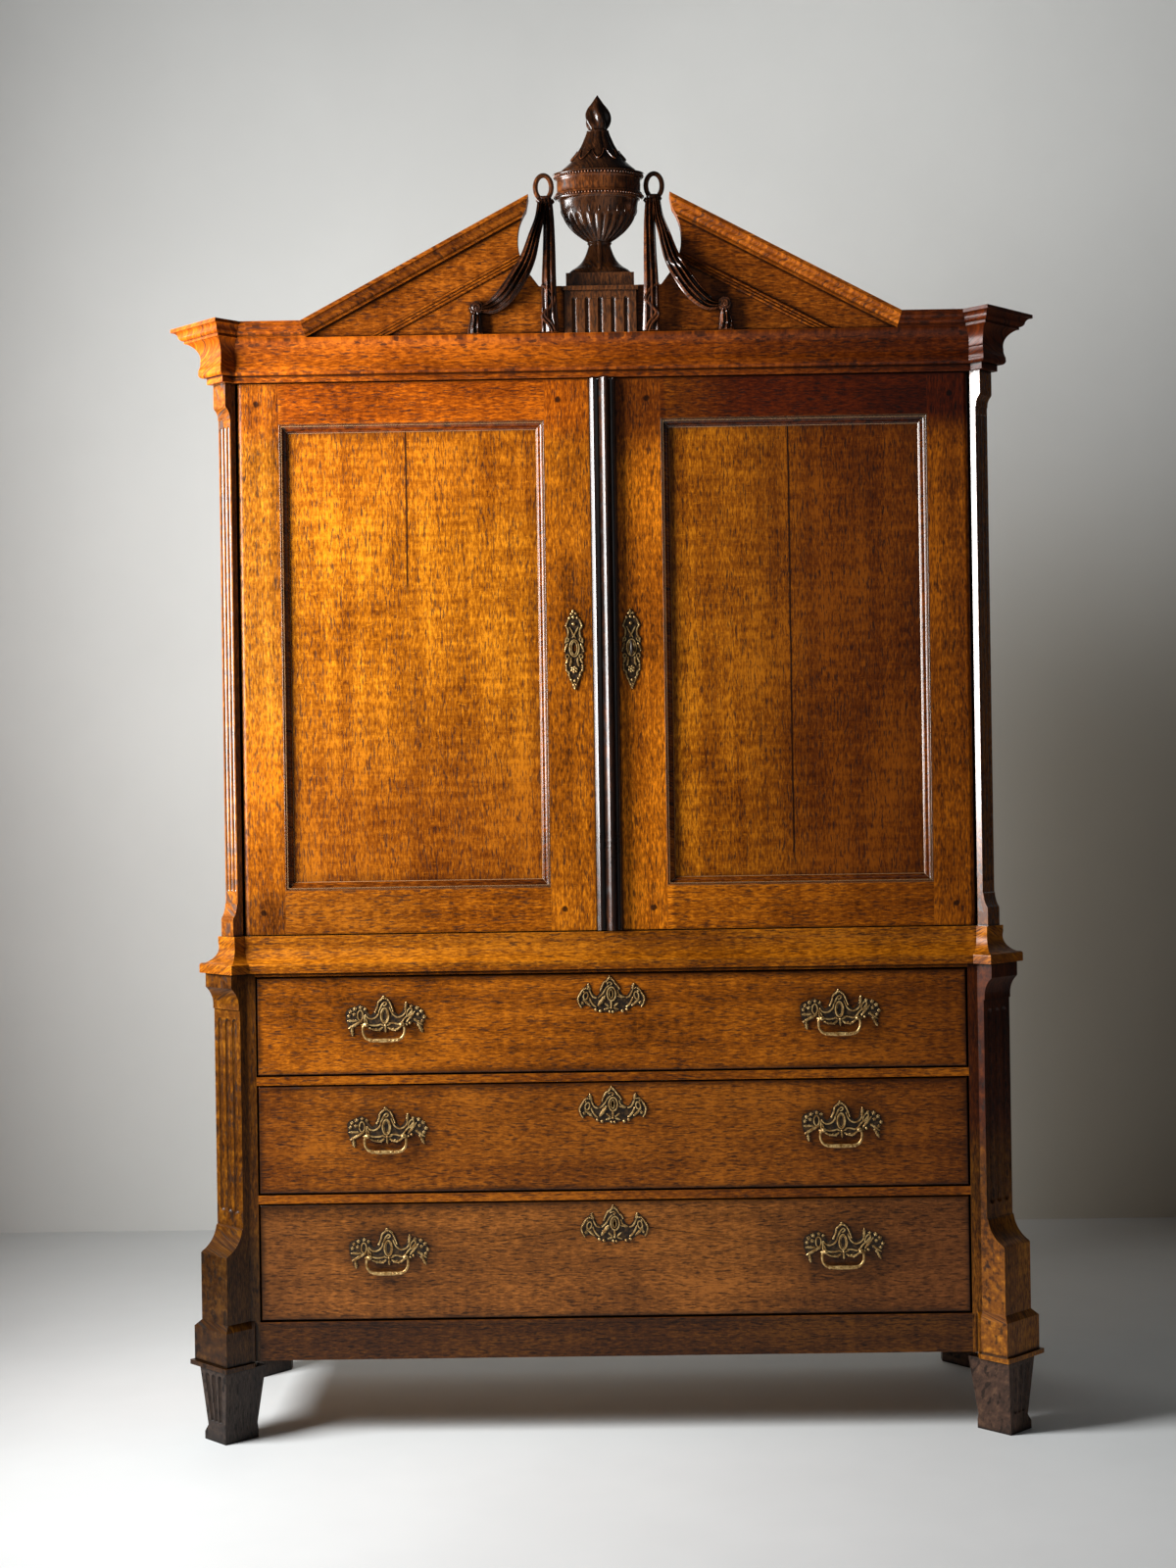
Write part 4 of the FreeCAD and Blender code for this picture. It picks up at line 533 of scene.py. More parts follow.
# ---------------------------------------------------------------- CAD nodes
def weld_group():
    """Geometry nodes that weld a node's faces and keep only its real edges sharp."""
    group = bpy.data.node_groups.new("weld_and_shade", "GeometryNodeTree")
    for way in ("INPUT", "OUTPUT"):
        group.interface.new_socket("Geometry", in_out=way, socket_type="NodeSocketGeometry")
    kinds = {
        "start": "NodeGroupInput", "weld": "GeometryNodeMergeByDistance",
        "near": "GeometryNodeInputMeshEdgeNeighbors", "shared": "FunctionNodeCompare",
        "part": "GeometryNodeSplitEdges", "bare": "GeometryNodeRemoveAttribute",
        "angle": "GeometryNodeInputMeshEdgeAngle", "flat": "FunctionNodeCompare",
        "faces": "GeometryNodeSetShadeSmooth", "edges": "GeometryNodeSetShadeSmooth",
        "end": "NodeGroupOutput",
    }
    made = {key: group.nodes.new(kind) for key, kind in kinds.items()}
    made["weld"].inputs["Distance"].default_value = WELD
    made["shared"].data_type = "INT"
    made["shared"].operation = "GREATER_THAN"
    made["shared"].inputs[3].default_value = 2
    made["bare"].inputs["Name"].default_value = "custom_normal"
    made["flat"].operation = "LESS_THAN"
    made["flat"].inputs["B"].default_value = math.radians(28)
    made["faces"].domain = "FACE"
    made["edges"].domain = "EDGE"
    chain = ("start", "weld", "part", "bare", "faces", "edges", "end")
    for first, second in zip(chain, chain[1:]):
        group.links.new(made[first].outputs[0], made[second].inputs[0])
    for source, output, target, socket in (
            ("near", 0, "shared", 2), ("shared", 0, "part", "Selection"),
            ("angle", "Unsigned Angle", "flat", "A"), ("flat", 0, "edges", "Shade Smooth")):
        group.links.new(made[source].outputs[output], made[target].inputs[socket])
    return group


def dress(node, material, group=None):
    """Gives a CAD node its material and, with the weld group, small rounded edges."""
    obj = nodes[node]
    obj.data.materials.clear()
    obj.data.materials.append(material)
    if group is not None:
        obj.modifiers.new("weld", "NODES").node_group = group
        bevel = obj.modifiers.new("edges", "BEVEL")
        bevel.width = EDGE_ROUNDING
        bevel.segments = 2
        bevel.limit_method = "ANGLE"
        bevel.angle_limit = math.radians(32)
        weighted = obj.modifiers.new("shading", "WEIGHTED_NORMAL")
        weighted.keep_sharp = True
        weighted.weight = 100


def dress_nodes(woods, metal, dark_iron):
    group = weld_group()
    plan = {
        "stile": ("left_door_frame", "right_door_frame"),
        "upright": ("upper_side_left", "upper_side_right", "base_side_left", "base_side_right"),
        "pilaster": ("pilaster_left", "pilaster_right"),
        "strip": ("closing_strip",),
        "post": ("corner_post_left", "corner_post_right"),
        "cornice": ("cornice", "cupboard_top"),
        "rail": ("waist_moulding", "front_rails"),
        "raking": ("raking_mouldings", "pediment_boards"),
        "left_panel": ("left_door_panel",),
        "right_panel": ("right_door_panel",),
        "top_drawer": ("top_drawer_front",),
        "middle_drawer": ("middle_drawer_front",),
        "bottom_drawer": ("bottom_drawer_front",),
        "dark": ("urn_body", "urn_lid", "drapery_left", "drapery_right"),
        "urn": ("urn_pedestal",),
        "foot": ("feet",),
        "inner": ("shelves", "cupboard_floor", "base_top", "base_floor", "drawer_runners", "cornice_frame",
                  "top_drawer_box", "middle_drawer_box", "bottom_drawer_box"),
        "inner_upright": ("upper_back", "base_back"),
    }
    for wood, members in plan.items():
        for member in members:
            dress(member, woods[wood], None if wood.startswith("inner") else group)
    for node in nodes:
        if node.endswith("brasses") or "bail" in node or "escutcheon" in node:
            dress(node, metal)
        elif "bolt" in node or node in ("key", "right_door_lock", "pivot_pins", "left_door_staples"):
            dress(node, dark_iron)


# ---------------------------------------------------------------- mesh helpers
def smooth_path(points, steps=6, closed=False):
    """Points on a Catmull-Rom curve through the given ones."""
    knots = [Vector(point) for point in points]
    count = len(knots)
    line = []
    for index in range(count if closed else count - 1):
        places = (index - 1, index, index + 1, index + 2)
        a, b, c, d = (knots[place % count if closed else min(max(place, 0), count - 1)] for place in places)
        for step in range(steps):
            t = step / steps
            line.append(0.5 * (2 * b + (c - a) * t + (2 * a - 5 * b + 4 * c - d) * t ** 2
                               + (3 * b - a - 3 * c + d) * t ** 3))
    if not closed:
        line.append(knots[-1])
    return line


def direction(line, index, closed=False):
    """Way that a line of points runs at one of them."""
    if closed:
        return line[(index + 1) % len(line)] - line[index - 1]
    return line[min(index + 1, len(line) - 1)] - line[max(index - 1, 0)]


def bridge(bm, rings, closed=False, caps=True):
    """Faces between successive rings of vertices, each ring closed on itself."""
    pairs = list(zip(rings, rings[1:]))
    if closed:
        pairs.append((rings[-1], rings[0]))
    for first, second in pairs:
        count = len(first)
        for index in range(count):
            after = (index + 1) % count
            bm.faces.new((first[index], first[after], second[after], second[index]))
    if caps and not closed:
        bm.faces.new(list(reversed(rings[0])))
        bm.faces.new(rings[-1])


def ball_rings(bm, place):
    """Closed ball; place(x, y, z) puts a point of the unit sphere."""
    poles = [bm.verts.new(place(0, 0, sign)) for sign in (-1, 1)]
    rings = []
    for step in range(1, BALL_ACROSS):
        lean = math.pi * step / BALL_ACROSS - math.pi / 2
        wide, rise = math.cos(lean), math.sin(lean)
        rings.append([bm.verts.new(place(wide * math.cos(angle), wide * math.sin(angle), rise))
                      for angle in turns(BALL_AROUND)])
    bridge(bm, rings, caps=False)
    for pole, ring in zip(poles, (rings[0], rings[-1])):
        for first, second in zip(ring, ring[1:] + ring[:1]):
            bm.faces.new((pole, first, second))


def finish_piece(bm, name, material, body, replaced=(), smooth=True):
    """Object from a bmesh, riding on its body."""
    bmesh.ops.recalc_face_normals(bm, faces=bm.faces)
    mesh = bpy.data.meshes.new(name)
    bm.to_mesh(mesh)
    bm.free()
    for face in mesh.polygons:
        face.use_smooth = smooth
    if smooth:
        mesh.set_sharp_from_angle(angle=math.radians(40))
    mesh.materials.append(material)
    obj = add_object(name, mesh)
    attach(obj, body)
    if replaced:
        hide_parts(*replaced)


def islands(bm):
    """Connected groups of vertices, in the same order in each run."""
    seen = set()
    groups = []
    for start in bm.verts:
        if start in seen:
            continue
        seen.add(start)
        group = [start]
        for vertex in group:
            for edge in vertex.link_edges:
                other = edge.other_vert(vertex)
                if other not in seen:
                    seen.add(other)
                    group.append(other)
        groups.append(group)
    return groups


def kept_solids(node, keep):
    """A bmesh of those solids of a CAD node whose lowest and highest corners keep() accepts."""
    bm = bmesh.new()
    bm.from_mesh(nodes[node].data)
    bmesh.ops.remove_doubles(bm, verts=bm.verts, dist=WELD)
    dropped = []
    for group in islands(bm):
        lowest, highest = (Vector(end(vertex.co[axis] for vertex in group) for axis in range(3))
                           for end in (min, max))
        if not keep(lowest, highest):
            dropped += group
    bmesh.ops.delete(bm, geom=dropped, context="VERTS")
    return bm


def oval(u, w, half_u, half_w, tilt=0.0):
    """Points round an oval that is tilted by degrees."""
    cos, sin = math.cos(math.radians(tilt)), math.sin(math.radians(tilt))
    spots = [(math.cos(angle) * half_u, math.sin(angle) * half_w) for angle in turns(12)]
    return [(u + x * cos - y * sin, w + x * sin + y * cos) for x, y in spots]


GROUND_FRONT, GROUND_BACK = 0.9, 0.05    # faces of the ground plates, in millimetres from the wood
BALL_AROUND, BALL_ACROSS = 8, 5


class Casting:
    """Raised ornament on a front face, in millimetres from a centre: u right, w up, d forward."""

    def __init__(self, centre, bm=None):
        self.bm = bm or bmesh.new()
        self.centre = Vector(centre)

    def at(self, u, w, d):
        return self.centre + Vector((u, -d, w)) * MM

    def vertex(self, u, w, d):
        return self.bm.verts.new(self.at(u, w, d))

    def ground(self, outline, hole=()):
        """Flat plate under the ornaments."""
        loops = [[Vector((u, w, 0)) for u, w in loop] for loop in (outline, hole) if loop]
        front = [self.vertex(spot.x, spot.y, GROUND_FRONT) for loop in loops for spot in loop]
        for corners in geometry.tessellate_polygon(loops):
            self.bm.faces.new([front[corner] for corner in corners])
        start = 0
        for loop in loops:
            backs = [self.vertex(spot.x, spot.y, GROUND_BACK) for spot in loop]
            bridge(self.bm, [front[start:start + len(loop)], backs], caps=False)
            start += len(loop)

    def section(self, line, index, radius, depth, flat, closed=False, sides=8):
        """Ring of vertices across a line at one of its points."""
        along, point = direction(line, index, closed), line[index]
        side = Vector((-along.y, along.x)).normalized()
        ring = []
        for angle in turns(sides):
            out, rise = math.cos(angle) * radius, math.sin(angle) * radius * flat
            ring.append(self.vertex(point.x + side.x * out, point.y + side.y * out, depth + rise))
        return ring

    def rod(self, points, flat=1.0):
        """Round bar along (u, w, radius) points, at the depth of the centre."""
        line = smooth_path(points)
        bridge(self.bm, [self.section(line, index, point.z, 0.0, flat, sides=10)
                         for index, point in enumerate(line)])

    def tube(self, points, radius=1.3, tip=0.5, depth=1.4, flat=0.8, closed=False, steps=5):
        """Rounded strip along (u, w) points, thinner towards its ends."""
        line = smooth_path(points, steps, closed)
        rings = []
        for index in range(len(line)):
            share = index / (len(line) - 1)
            swell = 1.0 if closed else tip + (1 - tip) * math.sin(math.pi * share) ** 0.6
            rings.append(self.section(line, index, radius * swell, depth, flat, closed))
        bridge(self.bm, rings, closed)

    def ball(self, u, w, radius=1.8, depth=1.6, flat=0.8):
        def place(x, y, z):
            return self.at(u + x * radius, w + y * radius, depth + z * radius * flat)
        ball_rings(self.bm, place)

    def ring(self, u, w, half_u, half_w, wire=1.3, depth=1.8, tilt=0.0):
        self.tube(oval(u, w, half_u, half_w, tilt), wire, depth=depth, closed=True, steps=3)

    def flower(self, u, w, size=3.2, petals=5, depth=1.8):
        self.ball(u, w, size * 0.42, depth + 1.2)
        for index in range(petals):
            angle = 2 * math.pi * (index + 0.3) / petals
            out, rise = math.cos(angle) * size * 0.68, math.sin(angle) * size * 0.68
            self.ball(u + out, w + rise, size * 0.42, depth)

    def leaf(self, u, w, to_u, to_w, width=2.4, lobes=3, depth=1.6):
        """Leaf from its foot to its tip, with a rib and small side lobes."""
        line = [(u, w), ((u + to_u) / 2, (w + to_w) / 2), (to_u, to_w)]
        self.tube(line, width, 0.25, depth, 0.55)
        self.tube(line, 0.6, 0.5, depth + width * 0.55)
        along = Vector((to_u - u, to_w - w))
        side = Vector((-along.y, along.x)).normalized()
        for index in range(lobes):
            share = (index + 0.6) / (lobes + 0.6)
            for sign in (-1, 1):
                spot = Vector((u, w)) + along * share + side * sign * width * 0.95
                self.ball(spot.x, spot.y, width * 0.42, depth - 0.2)

    def bead_row(self, points, radius, pitch):
        """Beads in a row along a curve."""
        line = smooth_path(points, 16)
        gone = 0.0
        for first, second in zip(line, line[1:]):
            gone += (second - first).length
            if gone >= pitch:
                gone -= pitch
                self.ball(second.x, second.y, radius, 3.0, 1.0)


# ---------------------------------------------------------------- brasses
def handle_ornament(cast):
    """Flower sprays and a garlanded oval over a bail."""
    cast.ring(1.5, 0.7, 7.6, 14.8, 1.7, 2.2)
    cast.ring(1.5, 0.7, 4.9, 11.6, 0.8, 1.4)
    arch = [(-17.3, 8.7), (-12.7, 18), (-10.7, 27.3), (-5.3, 32), (0, 36), (8, 32), (12, 26), (14.7, 19.3),
            (18, 10)]
    cast.tube(arch, 1.9, 0.9)
    cast.bead_row(arch, 1.2, 3.2)
    cast.tube([(-8, 14.7), (-4, 22), (1.3, 27.3), (5.3, 25.3), (2.7, 21.3), (-1.7, 20.6)], 1.5, 0.6, 2.0)
    cast.leaf(0, 33, -0.5, 40.5, 2.2)
    cast.ball(-17.3, 8.2, 2.2)
    cast.ball(18, 9.5, 2.2)
    for branch in ([(-4, 19.3), (-9.3, 11.3), (-10.7, 4.7), (-16, -2), (-24, -5.3), (-32, -3.3),
                    (-36.7, 3.3)],
                   [(11, 17.5), (13.5, 10), (18.5, 2), (26.7, -2.6), (34.7, -0.7), (40.7, 4.7), (42.7, 10)]):
        cast.tube(branch, 1.6, 0.8)
    for branch in ([(-5.3, -15.6), (-13.3, -18.2), (-24, -18.2), (-32, -15.3), (-34.3, -8.6), (-37.3, -3.3)],
                   [(8.7, -14), (18.7, -14), (28.3, -16.2), (35, -12.6), (40.7, -4.6), (49.3, 3.3),
                    (54.7, 10)]):
        cast.tube(branch, 1.7, 0.7)
    cast.tube([(-31, -22.3), (-21.3, -26), (-10.7, -27), (-2.7, -22.3)], 2.3, 0.5, 1.6)
    cast.tube([(7, -22), (15, -26.6), (25, -26.4), (33, -20.6)], 2.3, 0.5, 1.6)
    for u, w in ((-27, -23.2), (-21, -27.2), (-15, -25.4), (-9, -28.2), (12, -26.4), (18, -24.8), (22, -28.4),
                 (28, -25)):
        cast.ball(u, w, 1.9, 2.4)
    cast.ball(2.5, -18.5, 2.6, 2.4)
    cast.leaf(2.5, -20, 2.8, -32.5, 1.9)
    cast.leaf(1, -19, -8, -15.6, 1.7, 2)
    cast.leaf(4, -19, 13, -15.6, 1.7, 2)
    for u, w, size in (
            (-66, 9, 3.6), (-57.3, 14.5, 3.6), (-69.5, 0.7, 3.2), (-59, 4.0, 3.4), (-46, 17.5, 3.2),
            (-37.2, 14, 3.0), (65.5, 15.3, 3.6), (73.7, 8.7, 3.6), (79.3, -2.6, 3.4), (66.7, 3, 3.2),
            (75, -10.5, 3.2), (67.3, -17.3, 3.0), (54, 18, 3.0)):
        cast.flower(u, w, size)
    cast.ring(-46.7, 1.7, 5.3, 9.8, 1.4)
    cast.ring(50, 7, 4.6, 8.4, 1.4, tilt=-24)
    cast.tube([(-36.7, 3.3), (-38.5, -6), (-37, -17)], 2.0, 0.7)
    for leaf in ((-41.5, -7.6, -71, -24.5, 2.6, 4), (-52, -9, -73, -8.6, 2.2), (-64.5, -21, -62.5, -38.5),
                 (42.7, 9, 43.7, 27.5), (44, -12.6, 61, 9), (58, -6, 77, -19, 2.2),
                 (68, -17, 75.5, -33, 2.5)):
        cast.leaf(*leaf)
    cast.ball(50.7, -14.3, 3.0, 2.0)
    cast.ball(44.5, -17.3, 2.2, 2.0)


def mirrored(sign, shift=0.0):
    """Puts (u, w) points on one side of an ornament."""
    return lambda u, w: (sign * u + shift, w)


def keyplate_ornament(cast):
    """A keyhole oval under a crest, between two leafy wings."""
    cast.ring(1.2, 0.3, 8.4, 13.2, 1.6, 2.2)
    cast.ring(0.2, 0.3, 3.4, 8.6, 1.0, 2.0)
    crest = [(-21, 5.2), (-17.3, 14.7), (-12.8, 22.8), (-7, 26), (-2.3, 32.5), (4.7, 27.3), (9.3, 20.3),
             (14, 15.7), (17.4, 9)]
    cast.tube(crest, 2.0, 0.8)
    cast.bead_row(crest, 1.2, 3.4)
    cast.leaf(-2, 28, -2.3, 36.8, 2.0, 2)
    cast.tube([(-8, 20.7), (-2.2, 23.5), (2.3, 20.3), (-1.2, 17.6)], 1.3, 0.6, 2.2)
    cast.tube([(-25.6, -7.6), (-16.3, 0.6), (-10.3, 11), (-3.3, 16.9)], 1.5, 0.6)
    cast.leaf(-11, -3.2, -26, -23.4, 3.2, 2)
    cast.leaf(12, -4, 26, -7, 1.8, 2)
    cast.tube([(13, 8), (15.5, 0), (21, -4), (27, -6.4)], 1.4, 0.6)
    for sign, shift in ((-1, 0), (1, 1)):
        at = mirrored(sign, shift)
        cast.leaf(*at(42, 8), *at(44.5, 21), 2.4, 2)
        wing = [at(41, 11), at(52.3, 10.7), at(60, 1), at(64.5, -8), at(62.8, -17.7)]
        cast.tube([*wing, at(58.3, -26)], 2.0, 0.5)
        cast.bead_row(wing, 1.3, 3.6)
        cast.tube([at(41.9, 7.4), at(36, -4.2), at(28.4, -7.6)], 1.7, 0.7)
        cast.ring(*at(49.4, -3.2), 4.4, 7.2, 1.4, tilt=14 * sign)
        cast.tube([at(42.7, -6.2), at(36.9, -18.3), at(29, -26)], 1.9, 0.6)
        cast.leaf(*at(55, -10), *at(39.5, -23.8), 2.2)
        cast.flower(*at(56, -17), 3.0)
        cast.flower(*at(53, 5.6), 2.8)
        cast.ball(*at(30.2, -30.4), 3.2, 2.0)
        cast.ball(*at(21.3, -33.4), 3.3, 2.0)
        cast.leaf(*at(3, -27), *at(14, -30.5), 1.8, 1)
        cast.leaf(*at(4, -25), *at(12.5, -18), 1.8, 1)
    cast.tube([(0, -13), (0.5, -20), (0, -28)], 1.9, 0.9, 2.0)
    cast.ball(-2.6, -34.4, 2.9, 2.0)
    cast.ball(3.4, -35, 2.7, 2.0)
    cast.ball(0.3, -27, 2.4, 2.6)


def escutcheon_ornament(cast):
    """Tall openwork plate with a keyhole oval, buds at its ends and a rosette below."""
    cast.ring(0.4, 2.8, 9.2, 16.2, 1.5, 2.0)
    cast.ring(0.2, 2.8, 5.6, 13.0, 1.1, 2.4)
    for u, w, radius in (
            (-1.5, 77, 2.3), (-4.6, 70.6, 2.9), (4.0, 71.2, 2.7), (-8.6, 62.5, 2.9), (6.8, 62.8, 2.9),
            (-1, 64, 3.4), (-0.8, 50.6, 3.8), (0.6, -77.5, 2.3), (-1.6, -70, 2.9), (3, -69, 2.6),
            (0.6, -61.5, 3.4), (-6.6, -59.5, 2.4), (7.6, -57, 2.6)):
        cast.ball(u, w, radius, 2.0)
    cast.leaf(-0.8, 66, -1.6, 79, 2.4, 2)
    cast.leaf(0.6, -66, 0.8, -79, 2.4, 2)
    cast.flower(-0.2, -39.6, 7.0, 6, 2.0)
    for sign in (-1, 1):
        at = mirrored(sign)
        cast.tube([at(9.5, 62), at(13.4, 53), at(15.3, 45.8), at(11.8, 39.7), at(11.6, 28.8), at(15.5, 20),
                   at(16.8, 13)], 1.7, 0.8)
        cast.tube([at(8.6, 44.5), at(3.4, 34.3), at(-3.2, 22.6)], 1.5, 0.7, 2.0)
        cast.ball(*at(15.6, 47.2), 2.4)
        cast.ring(*at(13.9, 19.6), 3.2, 3.6, 1.1, 1.8)
        cast.leaf(*at(13, 12.5), *at(18.4, -1.5), 2.0, 2)
        cast.ball(*at(18.3, -3.4), 1.9)
        cast.ring(*at(13.4, -13.6), 3.4, 4.0, 1.2, 1.8)
        cast.leaf(*at(12, -17), *at(16.4, -28), 2.0, 2)
        cast.tube([at(6.9, -15.5), at(6.6, -24), at(8.8, -33)], 1.9, 0.7, 2.0)
        cast.ball(*at(16.2, -31.4), 2.3)
        cast.tube([at(15.9, -31), at(15.6, -41), at(11.4, -45), at(9.6, -55), at(5.4, -64), at(1.4, -75)],
                  1.7, 0.6)
        cast.ball(*at(15.6, -40.6), 2.2)
        cast.ball(*at(11.2, -50.5), 2.0)


HANDLE_OUTLINE = [
    (-76, 8), (-71, 14), (-64, 17), (-56, 19), (-48, 23), (-40, 19), (-34, 9), (-27, 1), (-19, 8), (-17, 20),
    (-12, 30), (-4, 37), (0, 40), (5, 36), (12, 28), (17, 18), (20, 8), (28, 1), (36, 8), (42, 25), (48, 17),
    (56, 20), (64, 18), (72, 12), (79, 4), (80, -6), (76, -14), (75, -29), (71, -28), (66, -20), (58, -12),
    (50, -14), (44, -16), (36, -22), (28, -27), (18, -28), (8, -26), (1, -29), (-8, -27), (-20, -28),
    (-30, -24), (-38, -17), (-46, -12), (-54, -12), (-60, -20), (-62, -33), (-67, -33), (-70, -22),
    (-75, -10)]
KEYPLATE_OUTLINE = [
    (-65, -8), (-61, 2), (-54, 11), (-46, 20), (-42, 14), (-36, 2), (-28, -5), (-20, 5), (-14, 17), (-7, 27),
    (-2, 34), (4, 28), (11, 19), (17, 9), (22, -1), (30, -5), (37, 3), (42, 17), (47, 20), (55, 11), (61, 2),
    (65, -7), (64, -18), (60, -26), (50, -21), (44, -24), (36, -29), (28, -33), (18, -33), (8, -35),
    (0, -37), (-8, -35), (-20, -35), (-31, -32), (-38, -26), (-50, -21), (-59, -25), (-64, -18)]
ESCUTCHEON_RIGHT = [
    (7, 69), (10, 60), (13, 52), (16, 46), (12, 36), (12, 26), (17, 18), (19, 8), (19, -5), (15, -14),
    (16, -28), (17, -36), (15, -46), (10, -56), (5, -66)]
ESCUTCHEON_OUTLINE = [(0, 78), *ESCUTCHEON_RIGHT, (0, -78), *((-u, w) for u, w in reversed(ESCUTCHEON_RIGHT))]


def make_drawer_brasses(name, metal, patina_and_shade_metal):
    """Handle and keyhole plates with their dark grounds, which also paint the shade in the plates' openings;
    the posts and nuts of the CAD node are kept.
    """
    node, body = name + "_drawer_brasses", name + "_drawer"
    plates = []

    def kept(lowest, highest):
        flat = highest.y - lowest.y < PLATE_THICKNESS * 1.5
        if flat:
            plates.append((lowest + highest) / 2)
        return not flat
    bm = kept_solids(node, kept)
    under = bmesh.new()
    for centre in plates:
        handle = abs(centre.x) > HANDLE_LEAST_X
        place = (centre.x, low(name + "_drawer_front").y, handle_centre_z(name) if handle else centre.z)
        if handle:
            handle_ornament(Casting(place, bm))
            Casting(place, under).ground(HANDLE_OUTLINE)
        else:
            keyplate_ornament(Casting(place, bm))
            Casting(place, under).ground(KEYPLATE_OUTLINE, oval(0.2, 0.3, 2.4, 7.4))
    finish_piece(bm, name + "_drawer_mounts", metal, body, (node,))
    finish_piece(under, name + "_drawer_grounds", patina_and_shade_metal, body, smooth=False)


def make_door_brasses(side, metal, patina_and_shade_metal):
    node, body = side + "_door_escutcheon", side + "_door"
    lowest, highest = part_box(node)
    place = ((lowest.x + highest.x) / 2, highest.y, (lowest.z + highest.z) / 2)
    cast, under = Casting(place), Casting(place)
    escutcheon_ornament(cast)
    # The dark ground fills the openings of the pierced plate with painted shade.
    under.ground(ESCUTCHEON_OUTLINE, oval(0.2, 2.0, 3.6, 9.6))
    finish_piece(cast.bm, side + "_door_keyplate", metal, body, (node,))
    finish_piece(under.bm, side + "_door_ground", patina_and_shade_metal, body, smooth=False)


def bail_pivot_z(node):
    return high(node).z - PIVOT_UNDER_TOP


def handle_centre_z(name):
    """Middle of a drawer's handle plates, above the eyes of the bails."""
    return bail_pivot_z(name + "_drawer_bail_left") + PLATE_CENTRE_OVER_PIVOT


def make_bail(node, body, metal):
    """Swelling cast bail between two eyes."""
    lowest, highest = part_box(node)
    cast = Casting(((lowest.x + highest.x) / 2, (lowest.y + highest.y) / 2, bail_pivot_z(node)))
    half = [(36.5, 1.5, 2.2), (40, -3, 2.5), (41, -11, 2.4), (39, -20, 2.5), (33, -27.5, 2.8),
            (22, -30.6, 3.3), (10, -31, 3.7)]
    cast.rod([(-u, w, r) for u, w, r in half] + [(0, -31, 3.9)] + list(reversed(half)), 0.85)
    for sign in (-1, 1):
        cast.rod([(sign * 31, 0.5, 3.2), (sign * 36, 0.5, 4.2), (sign * 40, 0.5, 3.0)], 0.9)
        for u, above, below in ((8, -28.5, -33.6), (16, -28.5, -33.6), (24, -27.6, -32.6)):
            cast.rod([(sign * u, above, 0.5), (sign * (u + 3), -31, 3.95 - u * 0.025),
                      (sign * (u + 5), below, 0.5)])
    finish_piece(cast.bm, node + "_casting", metal, body, (node,))


def make_brasses(metal, patina_and_shade_metal):
    for name in ("top", "middle", "bottom"):
        make_drawer_brasses(name, metal, patina_and_shade_metal)
        for side in ("left", "right"):
            make_bail(name + "_drawer_bail_" + side, name + "_bail_" + side, metal)
    for side in ("left", "right"):
        make_door_brasses(side, metal, patina_and_shade_metal)


# ---------------------------------------------------------------- closing strip
STRIP_THICKNESS = 17             # of the profile, in millimetres
STRIP_PROFILE = [
    (0, 0), (0, 2.6), (1.0, 4.4), (3.4, 6.4), (5.6, 8.1), (7.0, 8.8), (8.4, 8.6), (10.6, 7.2), (11.0, 2.6),
    (15.6, 2.2), (17.0, 2.8), (19.0, 4.6), (21.0, 7.6), (22.4, 11.0), (23.8, 12.9), (26.4, 15.2),
    (28.4, 16.7), (30.0, 17.0), (32.0, 16.8), (35.4, 15.4), (36.6, 11.8), (38.4, 6.6), (41.6, 3.0),
    (44.6, 2.8), (45.2, 5.0), (46.6, 6.2), (48.2, 5.8), (49.0, 4.4), (49.5, 2.6), (49.5, 0)]


def make_closing_strip(material):
    """Closing strip with a bead, a quirk, a cove and a ridge."""
    lowest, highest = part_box("closing_strip")
    thick = (highest.y - lowest.y) / STRIP_THICKNESS
    bm = bmesh.new()
    ends = [[bm.verts.new((lowest.x + u * MM, highest.y - v * thick, z)) for u, v in STRIP_PROFILE]
            for z in (lowest.z, highest.z)]
    bridge(bm, ends, caps=False)
    corners = geometry.tessellate_polygon([[Vector((u, v, 0)) for u, v in STRIP_PROFILE]])
    for ring in ends:
        for spots in corners:
            bm.faces.new([ring[spot] for spot in spots])
    finish_piece(bm, "closing_strip_moulded", material, "right_door", ("closing_strip",), smooth=False)


# ---------------------------------------------------------------- urn
class Turning:
    """Turned form, oval in plan, in millimetres about the axis of the urn."""

    def __init__(self, bm, axis, squeeze, foot):
        self.bm, self.axis, self.squeeze, self.foot = bm, axis, squeeze, foot

    def at(self, angle, radius, height):
        return self.axis + Vector((math.cos(angle) * radius, math.sin(angle) * radius * self.squeeze,
                                   height + self.foot)) * MM

    def turn(self, profile, around, shape):
        """Closed form from (radius, height) points; shape(angle, height, radius) carves it."""
        rings = [[self.bm.verts.new(self.at(angle, shape(angle, point.y, max(point.x, 0.05)), point.y))
                  for angle in turns(around)] for point in smooth_path(profile, 5)]
        bridge(self.bm, rings)

    def beads(self, radius, height, count, size):
        for angle in turns(count):
            place = self.at(angle, radius, height)
            ball_rings(self.bm, lambda x, y, z: place + Vector((x, y, z)) * size * MM)


